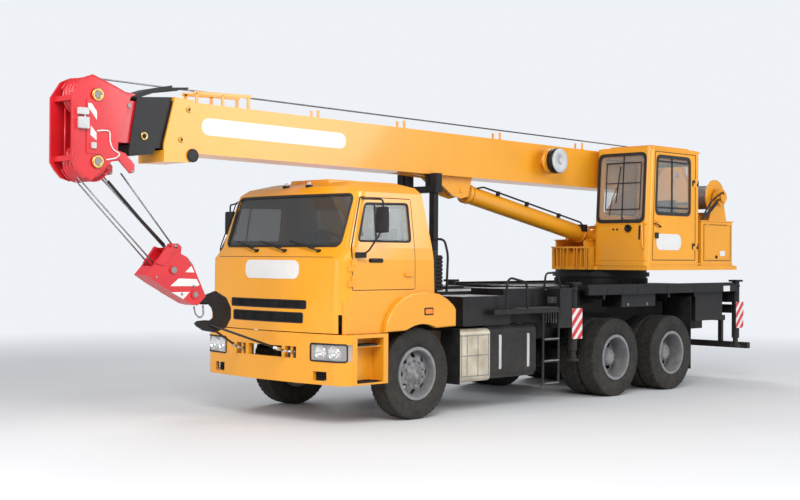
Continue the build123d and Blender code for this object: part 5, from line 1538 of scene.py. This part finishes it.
def make_camera():
    """The camera of the photograph, from its place, aim and roll."""
    forward = Vector((math.cos(CAMERA_YAW) * math.cos(CAMERA_PITCH),
                      math.sin(CAMERA_YAW) * math.cos(CAMERA_PITCH), math.sin(CAMERA_PITCH)))
    right = forward.cross(Vector((0, 0, 1))).normalized()
    up = right.cross(forward)
    rolled_right = right * math.cos(CAMERA_ROLL) + up * math.sin(CAMERA_ROLL)
    rolled_up = up * math.cos(CAMERA_ROLL) - right * math.sin(CAMERA_ROLL)
    turn = Matrix((rolled_right, rolled_up, -forward)).transposed().to_4x4()
    data = bpy.data.cameras.new("camera")
    data.sensor_width = SENSOR
    data.lens = FOCAL_PIXELS / IMAGE_WIDTH * SENSOR
    data.clip_end = 200
    camera = bpy.data.objects.new("camera", data)
    camera.matrix_world = Matrix.Translation(at(*CAMERA_PLACE)) @ turn
    bpy.context.scene.collection.objects.link(camera)
    bpy.context.scene.camera = camera


def make_area_light(name, place, target, size, power, colour=(1, 1, 1)):
    data = bpy.data.lights.new(name, "AREA")
    data.shape = "DISK"
    data.size = size
    data.energy = power
    data.color = colour
    lamp = bpy.data.objects.new(name, data)
    lamp.location = place
    lamp.rotation_euler = (Vector(target) - Vector(place)).to_track_quat("-Z", "Y").to_euler()
    bpy.context.scene.collection.objects.link(lamp)


def make_world():
    """Soft light from all round, with the plain background where the camera sees it."""
    world = bpy.data.worlds.new("studio")
    bpy.context.scene.world = world
    world.use_nodes = True
    tree = world.node_tree
    back = tree.nodes["Background"]
    fill(tree, back, {"Color": (0.9, 0.93, 1.0, 1), "Strength": 0.45})
    seen = add(tree, "ShaderNodeBackground", {"Color": BACKGROUND, "Strength": 1.0})
    path = add(tree, "ShaderNodeLightPath").outputs
    rays = add(tree, "ShaderNodeMath", {0: path["Is Camera Ray"], 1: path["Is Transmission Ray"]},
               operation="MAXIMUM")
    mix = add(tree, "ShaderNodeMixShader", {0: rays.outputs[0], 1: back.outputs[0], 2: seen.outputs[0]})
    fill(tree, tree.nodes["World Output"], {"Surface": mix.outputs[0]})


def fading_floor():
    """Pale floor that turns into the plain background far from the machine."""
    material = surface("pale floor", (0.7, 0.71, 0.72), (0.73, 0.74, 0.75), (0.75, 0.85), 0.3)
    tree = material.node_tree
    place = add(tree, "ShaderNodeTexCoord").outputs["Object"]
    length = add(tree, "ShaderNodeVectorMath", {0: place}, operation="LENGTH").outputs["Value"]
    fade = span(tree, length, 0, 1, FLOOR_FADE, interpolation_type="SMOOTHSTEP")
    far = add(tree, "ShaderNodeEmission", {"Color": BACKGROUND})
    mix = add(tree, "ShaderNodeMixShader",
              {0: fade, 1: shader_of(material).outputs[0], 2: far.outputs[0]})
    fill(tree, tree.nodes["Material Output"], {"Surface": mix.outputs[0]})
    return material


def make_floor():
    bm = bmesh.new()
    bmesh.ops.create_grid(bm, x_segments=1, y_segments=1, size=60)
    mesh = bpy.data.meshes.new("floor")
    bm.to_mesh(mesh)
    bm.free()
    floor = bpy.data.objects.new("floor", mesh)
    bpy.context.scene.collection.objects.link(floor)
    mesh.materials.append(fading_floor())


make_camera()
make_world()
make_floor()
make_area_light("key", (9, 9, 9), (0, 0, 1.5), 7, 1300, (1.0, 0.98, 0.95))
make_area_light("front fill", (14, 0, 5), (2, 0, 1.5), 6, 560)
make_area_light("side fill", (-6, 12, 6), (-2, 0, 1.5), 7, 750, (0.96, 0.98, 1.0))
make_area_light("back rim", (-9, -9, 8), (-2, 0, 2), 6, 600)

bpy.context.scene.view_settings.view_transform = "Standard"
